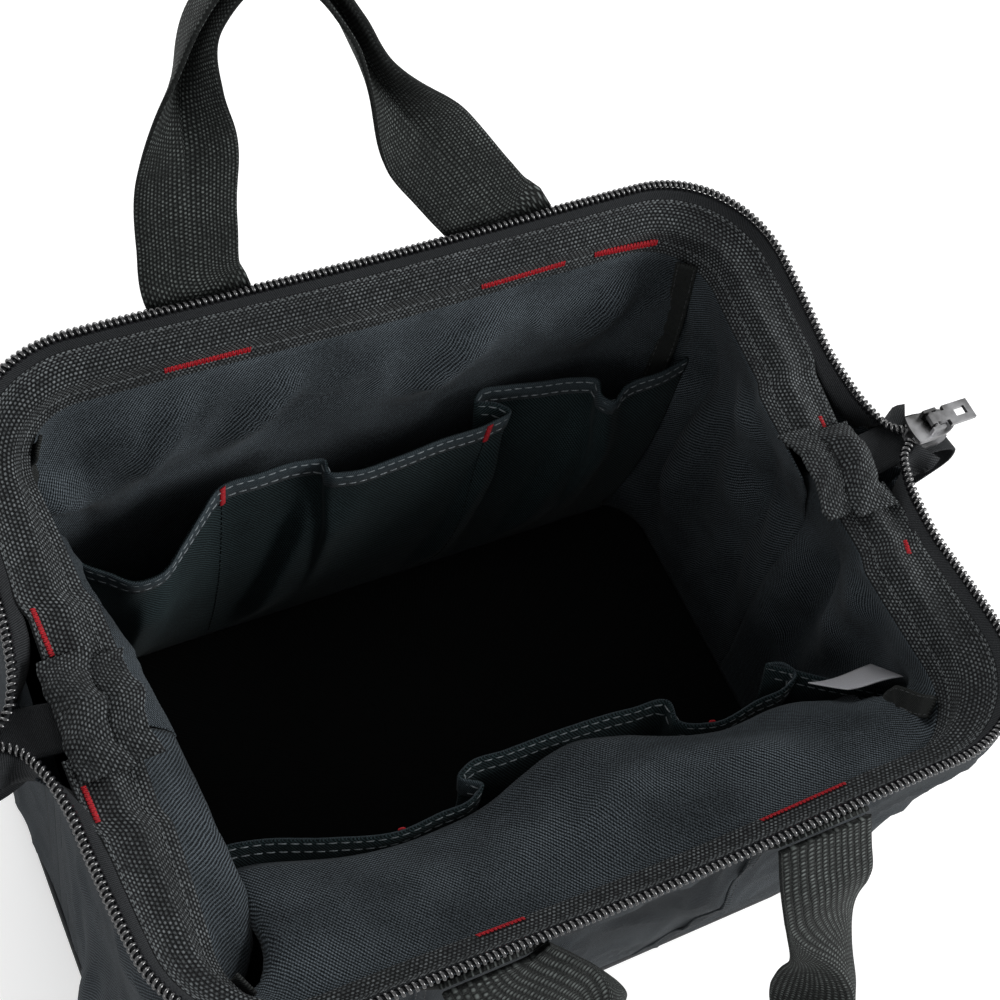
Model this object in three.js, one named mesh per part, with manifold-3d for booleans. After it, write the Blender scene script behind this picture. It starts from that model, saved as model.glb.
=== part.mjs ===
// Wide-mouth zippered tool bag, standing with its mouth folded open.
// Millimetres, +Z up, origin at the centre of the underside, +X towards the right end, +Y to the back.
import * as THREE from "three";
import { mergeVertices } from "three/addons/utils/BufferGeometryUtils.js";
import Module from "manifold-3d";

// Body
const BASE_LENGTH = 330;
const BASE_DEPTH = 216;
const BASE_CORNER = 25;
const TOP_CORNER = 12;
const SEAM_DROP = 20;
const SEAM_FLARE = 11;
const WALL = 1.6;
const WALL_BELLY = 3;
const BOARD = 3.2;
const BINDING_HEIGHT = 11;
const BINDING = 1.2;
const GAP = 0.3;

// Mouth: two U-shaped wires that fold about the rivets at the ends
const PIVOT_HEIGHT = 200;
const BAR_OVERHANG = 12;
const ARM_LENGTH = BASE_DEPTH / 2 + BAR_OVERHANG;
const SEAM_HEIGHT = PIVOT_HEIGHT - SEAM_DROP;
const BACK_SLOPE = 8;
const FRONT_SLOPE = 2;
const BACK_BOW = 3;
const FRONT_BOW = 8;
const MOUTH_CORNER = 34;
const WIRE = 4.5;
const WIRE_SIDESTEP = 2.6;
const EYE_DIAMETER = 13;
const EYE_THICKNESS = 2.4;
const RIVET = 4;
const RIVET_HEAD = 9;

// Webbing, tape and zip
const BAND_WIDTH = 25;
const BAND = 1.4;
const BAR_FLARE = 26;
const TAPE = 1.2;
const TAPE_REACH = 3.5;
const TAIL_TAPE = 6;
const COIL = 4.4;
const COVER_WIDTH = 18;
const STRIP_WIDTH = 7;
const COVER_PUFF = 3;
const TAIL_LENGTH = 28;
const TAIL_DEPTH = 28;
const TAIL_WIDTH = 17;
const SLIDER_LENGTH = 18;
const SLIDER_WIDTH = 12;
const SLIDER_HEIGHT = 9;
const SLIDER_PLATE = 1.5;
const PULL_LENGTH = 18;
const PULL_WIDTH = 9;
const PULL_PIN = 2;

// Handles and what is sewn inside
const HANDLE_SPACING = 127;
const HANDLE_WIDTH = 38;
const HANDLE_REACH = 150;
const WEBBING = 2;
const ANCHOR_HEIGHT = 26;
const FRONT_HANDLE_ANGLE = -60;
const BACK_HANDLE_ANGLE = 70;
const POCKET_DROP = 35;
const POCKET_HEIGHT = SEAM_HEIGHT - POCKET_DROP;
const POCKET_LENGTH = BASE_LENGTH - 2 * (BASE_CORNER + 1);
const POCKET_SHEET = 1.2;
const POCKET_MOUTH = 15;
const POCKET_SLUMP = 52;
const LINING_OVERLAP = 15;
const SEAM_TAPE_WIDTH = 7;
const SEAM_TAPE = 2.4;
const TAG_WIDTH = 30;
const TAG_HEIGHT = 46;
const TAG = 0.8;
const TAG_INSET = 35;
const TAG_SIDE = BASE_DEPTH / 2 - TAG_INSET;
const TAG_HEM = SEAM_HEIGHT - 4;

const BLACK_CLOTH = { color: 0x17191c, roughness: 0.85, metalness: 0 };
const LINING = { color: 0x101518, roughness: 0.9, metalness: 0 };
const BLACK_WEBBING = { color: 0x1b1c1e, roughness: 0.8, metalness: 0 };
const ZIP_CLOTH = { color: 0x2a2930, roughness: 0.8, metalness: 0 };
const COIL_NYLON = { color: 0x121214, roughness: 0.35, metalness: 0 };
const STEEL = { color: 0x9b9da0, roughness: 0.35, metalness: 1 };
const HARDBOARD = { color: 0x1a1a1b, roughness: 0.7, metalness: 0 };
const WHITE_TAG = { color: 0xe9e9ec, roughness: 0.6, metalness: 0 };

const wasm = await Module();
wasm.setup();
const bag = new THREE.Group();
const rad = THREE.MathUtils.degToRad;
const mix = THREE.MathUtils.lerp;
const smooth = (x, low, high) => THREE.MathUtils.smoothstep(x, low, high);

function add(name, geometry, finish) {
  const mesh = new THREE.Mesh(geometry, new THREE.MeshStandardMaterial(finish));
  mesh.name = name;
  bag.add(mesh);
  return mesh;
}

// Geometry helpers

function signedVolume(points, faces) {
  let volume = 0;
  for (let i = 0; i < faces.length; i += 3) {
    const [a, b, c] = [points[faces[i]], points[faces[i + 1]], points[faces[i + 2]]];
    volume += a.dot(b.clone().cross(c));
  }
  return volume;
}

// A closed body through equal rings of points, capped with the first ring's flat outline.
// A closed loop of rings has no caps.
function loft(rings, outline) {
  const count = rings[0].length;
  const points = rings.flat();
  const faces = [];
  const spans = outline ? rings.length - 1 : rings.length;
  for (let i = 0; i < spans; i++) {
    const near = i * count;
    const far = ((i + 1) % rings.length) * count;
    for (let j = 0; j < count; j++) {
      const k = (j + 1) % count;
      faces.push(near + j, near + k, far + k, near + j, far + k, far + j);
    }
  }
  if (outline) {
    const last = (rings.length - 1) * count;
    for (const [a, b, c] of THREE.ShapeUtils.triangulateShape(outline, [])) {
      const flip = THREE.ShapeUtils.area(outline) > 0;
      faces.push(...(flip ? [c, b, a] : [a, b, c]));
      faces.push(...(flip ? [a, b, c] : [c, b, a]).map((index) => index + last));
    }
  }
  if (signedVolume(points, faces) < 0) {
    faces.reverse();
  }
  const geometry = new THREE.BufferGeometry();
  geometry.setAttribute("position", new THREE.Float32BufferAttribute(points.flatMap((p) => p.toArray()), 3));
  geometry.setIndex(faces);
  return geometry;
}

// The outline of a strip of even thickness along a bent centre line.
function strip(line, thickness) {
  const normals = line.map((point, i) => {
    const before = line[Math.max(i - 1, 0)];
    const after = line[Math.min(i + 1, line.length - 1)];
    const along = after.clone().sub(before).normalize();
    return new THREE.Vector2(-along.y, along.x).multiplyScalar(thickness / 2);
  });
  const left = line.map((point, i) => point.clone().add(normals[i]));
  const right = line.map((point, i) => point.clone().sub(normals[i]));
  return [...left, ...right.reverse()];
}

function circle(diameter, sides) {
  return Array.from({ length: sides }, (_, i) => {
    const turn = (i / sides) * 2 * Math.PI;
    return new THREE.Vector2(Math.cos(turn), Math.sin(turn)).multiplyScalar(diameter / 2);
  });
}

// A section swept along points, with its second axis kept as near to up as it can be.
function sweep(path, section, up) {
  const rings = path.map((point, i) => {
    const before = path[Math.max(i - 1, 0)];
    const after = path[Math.min(i + 1, path.length - 1)];
    const along = after.clone().sub(before).normalize();
    const side = along.clone().cross(up).normalize();
    const rise = side.clone().cross(along);
    return section.map((s) => point.clone().addScaledVector(side, s.x).addScaledVector(rise, s.y));
  });
  return loft(rings, section);
}

function toSolid(geometry) {
  const plain = geometry.index ? geometry.clone() : geometry;
  plain.deleteAttribute("normal");
  plain.deleteAttribute("uv");
  const merged = mergeVertices(plain, 1e-4);
  return new wasm.Manifold(new wasm.Mesh({
    numProp: 3,
    vertProperties: Float32Array.from(merged.attributes.position.array),
    triVerts: Uint32Array.from(merged.index.array),
  }));
}

function fromSolid(solid) {
  const mesh = solid.getMesh();
  const geometry = new THREE.BufferGeometry();
  geometry.setAttribute("position", new THREE.BufferAttribute(Float32Array.from(mesh.vertProperties), 3));
  geometry.setIndex(Array.from(mesh.triVerts));
  return geometry;
}

function pin(diameter, from, to, sides = 20) {
  const centre = from.clone().add(to).multiplyScalar(0.5);
  const along = to.clone().sub(from);
  const geometry = new THREE.CylinderGeometry(diameter / 2, diameter / 2, along.length(), sides);
  const turn = new THREE.Quaternion().setFromUnitVectors(new THREE.Vector3(0, 1, 0), along.normalize());
  return geometry.applyQuaternion(turn).translate(...centre.toArray());
}

function block(width, depth, height, x, y, z) {
  return new THREE.BoxGeometry(width, depth, height).translate(x, y, z);
}

function rounded(length, depth, corner, thickness) {
  const shape = new THREE.Shape();
  const [x, y] = [length / 2 - corner, depth / 2 - corner];
  shape.absarc(x, -y, corner, -Math.PI / 2, 0);
  shape.absarc(x, y, corner, 0, Math.PI / 2);
  shape.absarc(-x, y, corner, Math.PI / 2, Math.PI);
  shape.absarc(-x, -y, corner, Math.PI, 1.5 * Math.PI);
  return new THREE.ExtrudeGeometry(shape, { depth: thickness, bevelEnabled: false, curveSegments: 6 });
}

// The mouth's folding geometry

const WIRE_X = BASE_LENGTH / 2 - WALL - GAP - BAND_WIDTH / 2 - GAP;
const FLANGE = WIRE / 2;
const CLOTH = FLANGE + GAP;
const COIL_OUT = BAND_WIDTH / 2 + TAPE_REACH + COIL / 2 + GAP;
const COIL_FACE = FLANGE - BAND / 2;
const HALVES = [
  { name: "front", sign: -1, slope: rad(FRONT_SLOPE), bow: FRONT_BOW, side: 1 },
  { name: "back", sign: 1, slope: rad(BACK_SLOPE), bow: BACK_BOW, side: -1 },
];

// Where a point of the band's section lies: p is its distance out of the band's face,
// q its height up the band, and flare the band's lean outwards.
function leaned(p, q, flare) {
  return {
    out: p * Math.cos(flare) + q * Math.sin(flare),
    up: q * Math.cos(flare) - p * Math.sin(flare),
  };
}

function bisect(test, low, high) {
  for (let i = 0; i < 40; i++) {
    const middle = (low + high) / 2;
    if (test(middle) > 0) {
      high = middle;
    } else {
      low = middle;
    }
  }
  return (low + high) / 2;
}

// How far a row of teeth is from the middle plane with the arms raised by an angle.
function teethToMiddle(reach, outward, flare, raised) {
  const coil = leaned(COIL_FACE, COIL_OUT, flare);
  return (reach + outward * coil.out) * Math.cos(raised) - coil.up * Math.sin(raised) - COIL / 2 - GAP;
}

const CLOSED = bisect((angle) => -teethToMiddle(ARM_LENGTH, 1, rad(BAR_FLARE), angle), 0, Math.PI / 2);

// The band leans just enough for both rows of teeth to meet when the mouth is shut.
function flareAt(reach, outward) {
  return bisect((flare) => teethToMiddle(reach, outward, flare, CLOSED), 0, Math.PI / 2);
}

// The walls keep their height when the mouth shuts, so the pivot sinks.
const FOOT = BASE_DEPTH / 2;
function pivotWhenShut() {
  const open = { v: ARM_LENGTH * Math.cos(rad(BACK_SLOPE)), z: PIVOT_HEIGHT + ARM_LENGTH * Math.sin(rad(BACK_SLOPE)) };
  const wall = Math.hypot(open.v - FOOT, open.z);
  const inset = FOOT - ARM_LENGTH * Math.cos(CLOSED);
  return Math.sqrt(wall ** 2 - inset ** 2) - ARM_LENGTH * Math.sin(CLOSED);
}

// Each half turns about one fixed line; the band starts where the two halves never cross.
function bandStart() {
  const drop = PIVOT_HEIGHT - pivotWhenShut();
  let start = 0;
  for (const half of HALVES) {
    const swing = CLOSED - half.slope;
    const radius = drop / 2 / Math.sin(swing / 2);
    for (let i = 0; i <= 60; i++) {
      const turned = (i / 60 - 0.5) * swing;
      const beyond = radius * (Math.cos(turned) - Math.cos(swing / 2));
      const raised = half.slope + (i / 60) * swing;
      const thick = (FLANGE + BAND + CLOTH + GAP) * Math.sin(raised);
      start = Math.max(start, (beyond + thick) / Math.cos(raised));
    }
  }
  return start;
}
const BAND_START = bandStart();

// Stations along one half of the mouth, from the right-hand arm round the bar to the left.
function mouthPath(half, start, steps = 8, barSteps = 10, arms = 7) {
  const stations = [];
  const top = ARM_LENGTH - MOUTH_CORNER;
  const right = WIRE_X - MOUTH_CORNER;
  for (let i = 0; i < arms; i++) {
    stations.push({ x: WIRE_X, reach: mix(start, top, i / arms), outX: 1, outward: 0 });
  }
  for (let i = 0; i <= steps; i++) {
    const turn = (i / steps) * (Math.PI / 2);
    stations.push({
      x: right + MOUTH_CORNER * Math.cos(turn),
      reach: top + MOUTH_CORNER * Math.sin(turn),
      outX: Math.cos(turn),
      outward: Math.sin(turn),
    });
  }
  for (let i = 1; i < barSteps / 2; i++) {
    stations.push({ x: right * (1 - i / (barSteps / 2)), reach: ARM_LENGTH, outX: 0, outward: 1 });
  }
  const mirrored = stations.map((s) => ({ ...s, x: -s.x, outX: -s.outX })).reverse();
  stations.push({ x: 0, reach: ARM_LENGTH, outX: 0, outward: 1 }, ...mirrored);
  for (const station of stations) {
    const along = Math.min(Math.abs(station.x) / right, 1);
    station.bow = -half.bow * Math.cos((Math.PI / 2) * along) ** 2;
    station.flare = flareAt(station.reach, station.outward);
  }
  return stations;
}

// A point of one half: out and up are measured from the wire in the half's own plane.
function inHalf(half, station, out, up) {
  const reach = station.reach + station.outward * out;
  const lift = up + station.bow;
  return new THREE.Vector3(
    station.x + station.outX * out,
    half.sign * (reach * Math.cos(half.slope) - lift * Math.sin(half.slope)),
    PIVOT_HEIGHT + reach * Math.sin(half.slope) + lift * Math.cos(half.slope),
  );
}

function banded(half, station, section) {
  return section.map((s) => {
    const { out, up } = leaned(s.x, s.y, station.flare);
    return inHalf(half, station, out, up);
  });
}

function insideStation(reach, side) {
  return { x: side * WIRE_X, reach, outX: side, outward: 0, bow: 0, flare: flareAt(reach, 0) };
}

// The bag's own pieces, fixed to the floor

function bodyOutline(height) {
  const share = (height - WALL) / (SEAM_HEIGHT - WALL);
  return {
    depth: BASE_DEPTH / 2 + SEAM_FLARE * share,
    corner: mix(BASE_CORNER, TOP_CORNER, share),
    share,
  };
}

// Half the body's depth at a height, with the soft belly of the long walls.
function wallDepth(height, x) {
  const { depth, corner, share } = bodyOutline(height);
  const along = Math.min(Math.abs(x) / (BASE_LENGTH / 2 - corner), 1);
  return depth + WALL_BELLY * Math.sin(Math.PI * share) ** 2 * (1 - along ** 2);
}

const WALL_HEIGHTS = Array.from({ length: 9 }, (_, i) => mix(WALL + GAP, SEAM_HEIGHT, i / 8));

function longWall(half) {
  const quarter = Array.from({ length: 6 }, (_, i) => ({ along: 1, turn: (i / 5) * (Math.PI / 2) }));
  const flat = [0.75, 0.5, 0.25, 0, -0.25, -0.5, -0.75].map((along) => ({ along, turn: Math.PI / 2 }));
  const other = quarter.map(({ turn }) => ({ along: -1, turn })).reverse();
  const rings = [...quarter, ...flat, ...other].map(({ along, turn }) => {
    const place = (height, inset) => {
      const { corner } = bodyOutline(height);
      const x = along * (BASE_LENGTH / 2 - corner);
      return new THREE.Vector3(
        x + Math.sign(along) * (corner - inset) * Math.cos(turn),
        half.sign * (wallDepth(height, x) - corner + (corner - inset) * Math.sin(turn)),
        height,
      );
    };
    const outer = WALL_HEIGHTS.map((height) => place(height, 0));
    return [...outer, ...WALL_HEIGHTS.map((height) => place(height, WALL)).reverse()];
  });
  const outline = [...WALL_HEIGHTS.map((h) => [0, h]), ...WALL_HEIGHTS.map((h) => [WALL, h]).reverse()];
  return loft(rings, outline.map(([x, y]) => new THREE.Vector2(x, y)));
}

// The end walls stop just under the zip tape, so their top follows the two arms.
function endWall(side) {
  const edge = (height) => {
    const { depth, corner } = bodyOutline(height);
    return depth - corner - GAP;
  };
  const topEdge = edge(SEAM_HEIGHT);
  const drop = FLANGE + TAPE;
  const rim = (half) => PIVOT_HEIGHT - drop + topEdge * Math.tan(half.slope);
  const [front, back] = HALVES;
  const shape = new THREE.Shape([
    ...WALL_HEIGHTS.map((z) => new THREE.Vector2(-edge(z), z)),
    new THREE.Vector2(-topEdge, rim(front)),
    new THREE.Vector2(0, PIVOT_HEIGHT - drop),
    new THREE.Vector2(topEdge, rim(back)),
    ...[...WALL_HEIGHTS].reverse().map((z) => new THREE.Vector2(edge(z), z)),
  ]);
  const slab = new THREE.ExtrudeGeometry(shape, { depth: WALL, bevelEnabled: false });
  slab.rotateX(Math.PI / 2).rotateZ(Math.PI / 2);
  return slab.translate(side > 0 ? BASE_LENGTH / 2 - WALL : -BASE_LENGTH / 2, 0, 0);
}

function bottomBinding() {
  const section = [[GAP, 0], [GAP + BINDING, 0], [GAP + BINDING, BINDING_HEIGHT], [GAP, BINDING_HEIGHT]];
  const rings = [];
  for (let i = 0; i < 4; i++) {
    const sideX = i === 0 || i === 3 ? 1 : -1;
    const sideY = i < 2 ? 1 : -1;
    for (let j = 0; j <= 5; j++) {
      const turn = (i + j / 5) * (Math.PI / 2);
      rings.push(section.map(([reach, height]) => {
        const { depth, corner } = bodyOutline(Math.max(height, WALL));
        return new THREE.Vector3(
          sideX * (BASE_LENGTH / 2 - corner) + (corner + reach) * Math.cos(turn),
          sideY * (depth - corner) + (corner + reach) * Math.sin(turn),
          height,
        );
      }));
    }
  }
  return loft(rings, null);
}

function seamTape(half, side) {
  const rings = [WALL + BOARD + 3 * GAP, SEAM_HEIGHT - GAP].map((height) => {
    const { depth, corner } = bodyOutline(height);
    const x = BASE_LENGTH / 2 - WALL - GAP - SEAM_TAPE;
    const y = depth - corner - SEAM_TAPE_WIDTH - GAP;
    return [[x, y], [x + SEAM_TAPE, y], [x + SEAM_TAPE, y + SEAM_TAPE_WIDTH], [x, y + SEAM_TAPE_WIDTH]].map(
      ([px, py]) => new THREE.Vector3(side * px, half.sign * py, height),
    );
  });
  return loft(rings, [[0, 0], [1, 0], [1, 1], [0, 1]].map(([x, y]) => new THREE.Vector2(x, y)));
}

// A gathered pocket between two sewn edges. It bulges, has one pleat, and may slump into the bag.
function pocket(half, { left, right, pleat, slump }) {
  const low = WALL + BOARD + 3 * GAP;
  const shares = [0, 0.25, 0.5, 0.75, 1];
  const pieces = 12;
  const rings = [];
  for (let j = 0; j <= pieces; j++) {
    const x = mix(left, right, j / pieces);
    const tuck = 1 - 0.45 * Math.exp(-(((x - pleat) / 5) ** 2));
    const bulge = POCKET_MOUTH * Math.sqrt(Math.abs(Math.sin((Math.PI * j) / pieces))) * tuck;
    const face = (share, inset) => {
      const height = mix(low, POCKET_HEIGHT, share);
      const stand = GAP + bulge * Math.sin((share * Math.PI) / 2) + slump * share ** 1.5;
      return new THREE.Vector3(x, half.sign * (wallDepth(height, x) - WALL - stand - inset), height);
    };
    const outer = shares.map((share) => face(share, 0));
    rings.push([...outer, ...shares.map((share) => face(share, POCKET_SHEET)).reverse()]);
  }
  const outline = [...shares.map((h) => [0, h]), ...shares.map((h) => [1, h]).reverse()];
  return loft(rings, outline.map(([x, y]) => new THREE.Vector2(x, y)));
}

// The lining under the band: it slumps into the bag and goes down a little way behind the pockets.
function slumpedLining(half, slump) {
  const low = WALL + BOARD + 3 * GAP;
  const drops = [0, 0.2, 0.4, 0.6, 0.8, 1];
  const behind = (height, x) => {
    const share = (height - low) / (POCKET_HEIGHT - low);
    return half.sign * (wallDepth(height, x) - WALL - slump * share ** 1.5 + POCKET_SHEET / 2);
  };
  const rings = mouthPath(half, BAND_START).filter((station) => station.outward > 0.6).map((station) => {
    const edge = leaned(FLANGE - BAND / 2, -BAND_WIDTH / 2 - 2 * GAP - POCKET_SHEET / 2, station.flare);
    const top = inHalf(half, station, edge.out, edge.up);
    const hem = behind(POCKET_HEIGHT, top.x);
    const line = drops.map((share) => new THREE.Vector2(
      mix(top.y, hem, smooth(share, 0, 1)),
      mix(top.z, POCKET_HEIGHT, share),
    ));
    const end = POCKET_HEIGHT - LINING_OVERLAP;
    line.push(new THREE.Vector2(behind(end, top.x), end));
    return strip(line, POCKET_SHEET).map((s) => new THREE.Vector3(top.x, s.x, s.y));
  });
  return loft(rings, strip([...drops, 2].map((y) => new THREE.Vector2(0, -y)), 0.2));
}

// Three pockets side by side, set out as shares of the row's length.
function addPockets(half, { dividers, pleats, slump }) {
  const edges = [-0.5, ...dividers, 0.5].map((share) => share * POCKET_LENGTH);
  ["left", "middle", "right"].forEach((name, i) => {
    const left = edges[i] + (i === 0 ? 0 : GAP / 2);
    const right = edges[i + 1] - (i === 2 ? 0 : GAP / 2);
    const shape = pocket(half, { left, right, pleat: pleats[i] * POCKET_LENGTH, slump });
    add(`${half.name}_${name}_pocket`, shape, LINING);
  });
}

function blankTag() {
  const x = BASE_LENGTH / 2 - WALL - GAP - TAG / 2;
  return block(TAG, TAG_WIDTH, TAG_HEIGHT, x, -TAG_SIDE, TAG_HEM - TAG_HEIGHT / 2);
}

// One half of the mouth

function frameWire(half) {
  const start = WIRE;
  const clear = BAND_START - 2 * WIRE;
  const arm = [start, clear / 2, clear - WIRE, clear, clear + WIRE / 2, clear + WIRE, BAND_START + WIRE];
  const path = mouthPath(half, BAND_START + 2 * WIRE);
  const armStations = (side) => arm.map((reach) => insideStation(reach, side));
  const stations = [...armStations(1), ...path, ...armStations(-1).reverse()];
  const section = circle(WIRE, 8);
  const rings = stations.map((station) => {
    const step = WIRE_SIDESTEP * half.side * (1 - smooth(station.reach, clear - WIRE, clear + WIRE));
    const outward = station.outward > 0 ? 0 : step;
    return section.map((s) => inHalf(half, station, s.x + outward, s.y));
  });
  let solid = toSolid(loft(rings, section));
  for (const side of [-1, 1]) {
    const x = side * (WIRE_X + half.side * WIRE_SIDESTEP);
    const across = (thickness) => [
      new THREE.Vector3(x - thickness / 2, 0, PIVOT_HEIGHT),
      new THREE.Vector3(x + thickness / 2, 0, PIVOT_HEIGHT),
    ];
    solid = solid.add(toSolid(pin(EYE_DIAMETER, ...across(EYE_THICKNESS), 24)));
    solid = solid.subtract(toSolid(pin(RIVET + 2 * GAP, ...across(3 * WIRE), 24)));
  }
  return fromSolid(solid);
}

function frameBand(half) {
  const bore = WIRE / 2 + GAP;
  const lip = Math.acos(FLANGE / bore);
  const inner = FLANGE - BAND;
  const crown = Math.acos(inner / (bore + BAND));
  const section = [new THREE.Vector2(FLANGE, BAND_WIDTH / 2)];
  for (let i = 0; i <= 10; i++) {
    const turn = mix(lip, 2 * Math.PI - lip, i / 10);
    section.push(new THREE.Vector2(bore * Math.cos(turn), bore * Math.sin(turn)));
  }
  section.push(new THREE.Vector2(FLANGE, -BAND_WIDTH / 2), new THREE.Vector2(inner, -BAND_WIDTH / 2));
  for (let i = 0; i <= 6; i++) {
    const turn = mix(2 * Math.PI - crown, crown, i / 6);
    section.push(new THREE.Vector2((bore + BAND) * Math.cos(turn), (bore + BAND) * Math.sin(turn)));
  }
  section.push(new THREE.Vector2(inner, BAND_WIDTH / 2));
  return loft(mouthPath(half, BAND_START).map((s) => banded(half, s, section)), section);
}

// Where the mouth's cloth meets the top edge of the body, seen from a station of the wire.
function seamFoot(half, station) {
  const seam = BASE_DEPTH / 2 + SEAM_FLARE - WALL / 2;
  const drop = SEAM_HEIGHT + GAP + WALL / 2 - PIVOT_HEIGHT;
  const plane = seam * Math.cos(half.slope) + drop * Math.sin(half.slope);
  const toSeam = (plane - ARM_LENGTH + MOUTH_CORNER) / station.outward;
  const end = BASE_LENGTH / 2 - WALL - 2 * GAP - BAND / 2;
  const toEnd = (end - WIRE_X + MOUTH_CORNER) / Math.abs(station.outX);
  return {
    out: (toSeam ** -6 + toEnd ** -6) ** (-1 / 6) - MOUTH_CORNER,
    up: drop * Math.cos(half.slope) - seam * Math.sin(half.slope) - station.bow,
  };
}

// The cloth behind the band, which hangs from the bar down to the seam on the body.
function mouthWall(half) {
  const rings = mouthPath(half, BAND_START).map((station) => {
    const face = CLOTH + BAND / 2 + 0.8 * GAP + 2 * GAP * station.outward * Math.abs(station.outX);
    const top = leaned(face, BAND_WIDTH / 2 - 3 * GAP, station.flare);
    const fold = leaned(face, 0, station.flare);
    const arm = leaned(face, -BAND_WIDTH / 2, station.flare);
    const foot = seamFoot(half, station);
    const share = smooth(station.outward, 0, 0.8);
    const low = { out: mix(arm.out, foot.out, share), up: mix(arm.up, foot.up, share) };
    const line = [low, fold, top].map(({ out, up }) => new THREE.Vector2(out, up));
    return strip(line, BAND).map((s) => inHalf(half, station, s.x, s.y));
  });
  const flat = strip([[0, -1], [0, 0], [0, 1]].map(([x, y]) => new THREE.Vector2(x, y)), 0.2);
  return loft(rings, flat);
}

// The zip's line: the middle of the teeth, and a point one millimetre off them towards the tape.
// The tape leaves the band near each rivet, rolls over and runs out to the tail.
const TAIL_X = BASE_LENGTH / 2 + SLIDER_LENGTH + GAP;
const TAIL_HEIGHT = PIVOT_HEIGHT + SLIDER_HEIGHT / 2 + GAP;

function zipLine(half) {
  const teeth = COIL / 2 + GAP;
  const band = mouthPath(half, BAND_START).map((station) => {
    const coil = leaned(COIL_FACE, COIL_OUT, station.flare);
    const tape = leaned(COIL_FACE, COIL_OUT - 1, station.flare);
    const centre = inHalf(half, station, coil.out, coil.up);
    return { centre, tape: inHalf(half, station, tape.out, tape.up).sub(centre) };
  });
  const tail = (side, leave) => {
    const between = (share, lift) => new THREE.Vector3(
      mix(leave.x, side * TAIL_X, share ** 2),
      mix(leave.y, half.sign * teeth, 1 - (1 - share) ** 1.6),
      mix(leave.z, TAIL_HEIGHT, lift),
    );
    return [
      { centre: between(1, 1), tape: new THREE.Vector3(0, half.sign, 0) },
      { centre: between(0.8, 0.95), tape: new THREE.Vector3(0, half.sign * 0.93, -0.36) },
      { centre: between(0.55, 0.7), tape: new THREE.Vector3(-side * 0.2, half.sign * 0.2, -0.96) },
      { centre: between(0.25, 0.3), tape: new THREE.Vector3(-side * 0.8, 0, -0.6) },
    ];
  };
  const last = band[band.length - 1];
  return [...tail(1, band[0].centre), ...band, ...tail(-1, last.centre).reverse()];
}

function zipPoints(half) {
  const line = zipLine(half);
  const centres = new THREE.CatmullRomCurve3(line.map((point) => point.centre), false, "centripetal");
  const tapes = new THREE.CatmullRomCurve3(line.map((point) => point.tape), false, "centripetal");
  const spans = line.length - 1;
  const points = [];
  for (let i = 0; i < spans; i++) {
    const inTail = i < 4 || i >= spans - 4;
    const pieces = inTail ? 3 : 1;
    for (let j = 0; j < pieces; j++) {
      const at = (i + j / pieces) / spans;
      const width = inTail ? mix(TAIL_TAPE, TAPE_REACH, smooth(Math.min(i + j / pieces, spans - i - j / pieces), 0, 4)) : TAPE_REACH;
      points.push({ centre: centres.getPoint(at), tape: tapes.getPoint(at).normalize(), width });
    }
  }
  points.push({ centre: centres.getPoint(1), tape: tapes.getPoint(1).normalize(), width: TAIL_TAPE });
  return points;
}

function zipTape(half) {
  const points = zipPoints(half);
  const near = COIL / 2 + GAP;
  const rings = points.map(({ centre, tape, width }, i) => {
    const before = points[Math.max(i - 1, 0)].centre;
    const after = points[Math.min(i + 1, points.length - 1)].centre;
    const face = after.clone().sub(before).cross(tape).normalize();
    const inward = face.clone().cross(after.clone().sub(before)).normalize();
    inward.multiplyScalar(Math.sign(inward.dot(tape)));
    const corner = (reach, side) => (
      centre.clone().addScaledVector(inward, reach).addScaledVector(face, side * (TAPE / 2))
    );
    return [corner(near, -1), corner(near + width - GAP, -1), corner(near + width - GAP, 1), corner(near, 1)];
  });
  return loft(rings, [[0, 0], [1, 0], [1, 1], [0, 1]].map(([x, y]) => new THREE.Vector2(x, y)));
}

function zipCoil(half) {
  const line = zipPoints(half).map((point) => point.centre);
  return sweep(line, circle(COIL, 8), new THREE.Vector3(0, 0, 1));
}

// Webbing laid over the rivet and both band ends; it bulges a little where nothing is under it.
function hingeWebbing(side, x, width, puff) {
  const reach = BAND_START + 4;
  const eye = EYE_DIAMETER / 2 + GAP + WEBBING / 2;
  const band = WIRE / 2 + GAP + BAND + GAP + WEBBING / 2;
  const line = [];
  for (let i = -8; i <= 8; i++) {
    const y = (i / 8) * reach;
    const slope = y > 0 ? HALVES[1].slope : HALVES[0].slope;
    const share = smooth(Math.abs(y), EYE_DIAMETER / 2, BAND_START * 0.9);
    const rise = mix(eye + puff, band / Math.cos(slope), share);
    line.push(new THREE.Vector3(side * x, y, PIVOT_HEIGHT + Math.abs(y) * Math.tan(slope) + rise));
  }
  const [w, t] = [width / 2, WEBBING / 2];
  const section = [[-w, -t], [w, -t], [w, t], [-w, t]].map(([px, py]) => new THREE.Vector2(px, py));
  return sweep(line, section, new THREE.Vector3(0, 0, 1));
}

// A rivet head and its half of the shank; the two halves meet between the eyes.
function rivetHalf(half, side) {
  const headStart = WIRE_SIDESTEP + EYE_THICKNESS / 2 + GAP;
  const dome = [
    [0, GAP / 2],
    [RIVET / 2, GAP / 2],
    [RIVET / 2, headStart],
    [RIVET_HEAD / 2, headStart],
    [RIVET_HEAD / 2 - 0.4, headStart + 0.9],
    [RIVET / 2, headStart + 1.7],
    [0, headStart + 2],
  ];
  const body = new THREE.LatheGeometry(dome.map(([x, y]) => new THREE.Vector2(x, y)), 20);
  body.rotateZ(-side * half.side * (Math.PI / 2));
  return body.translate(side * WIRE_X, 0, PIVOT_HEIGHT);
}

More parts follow.
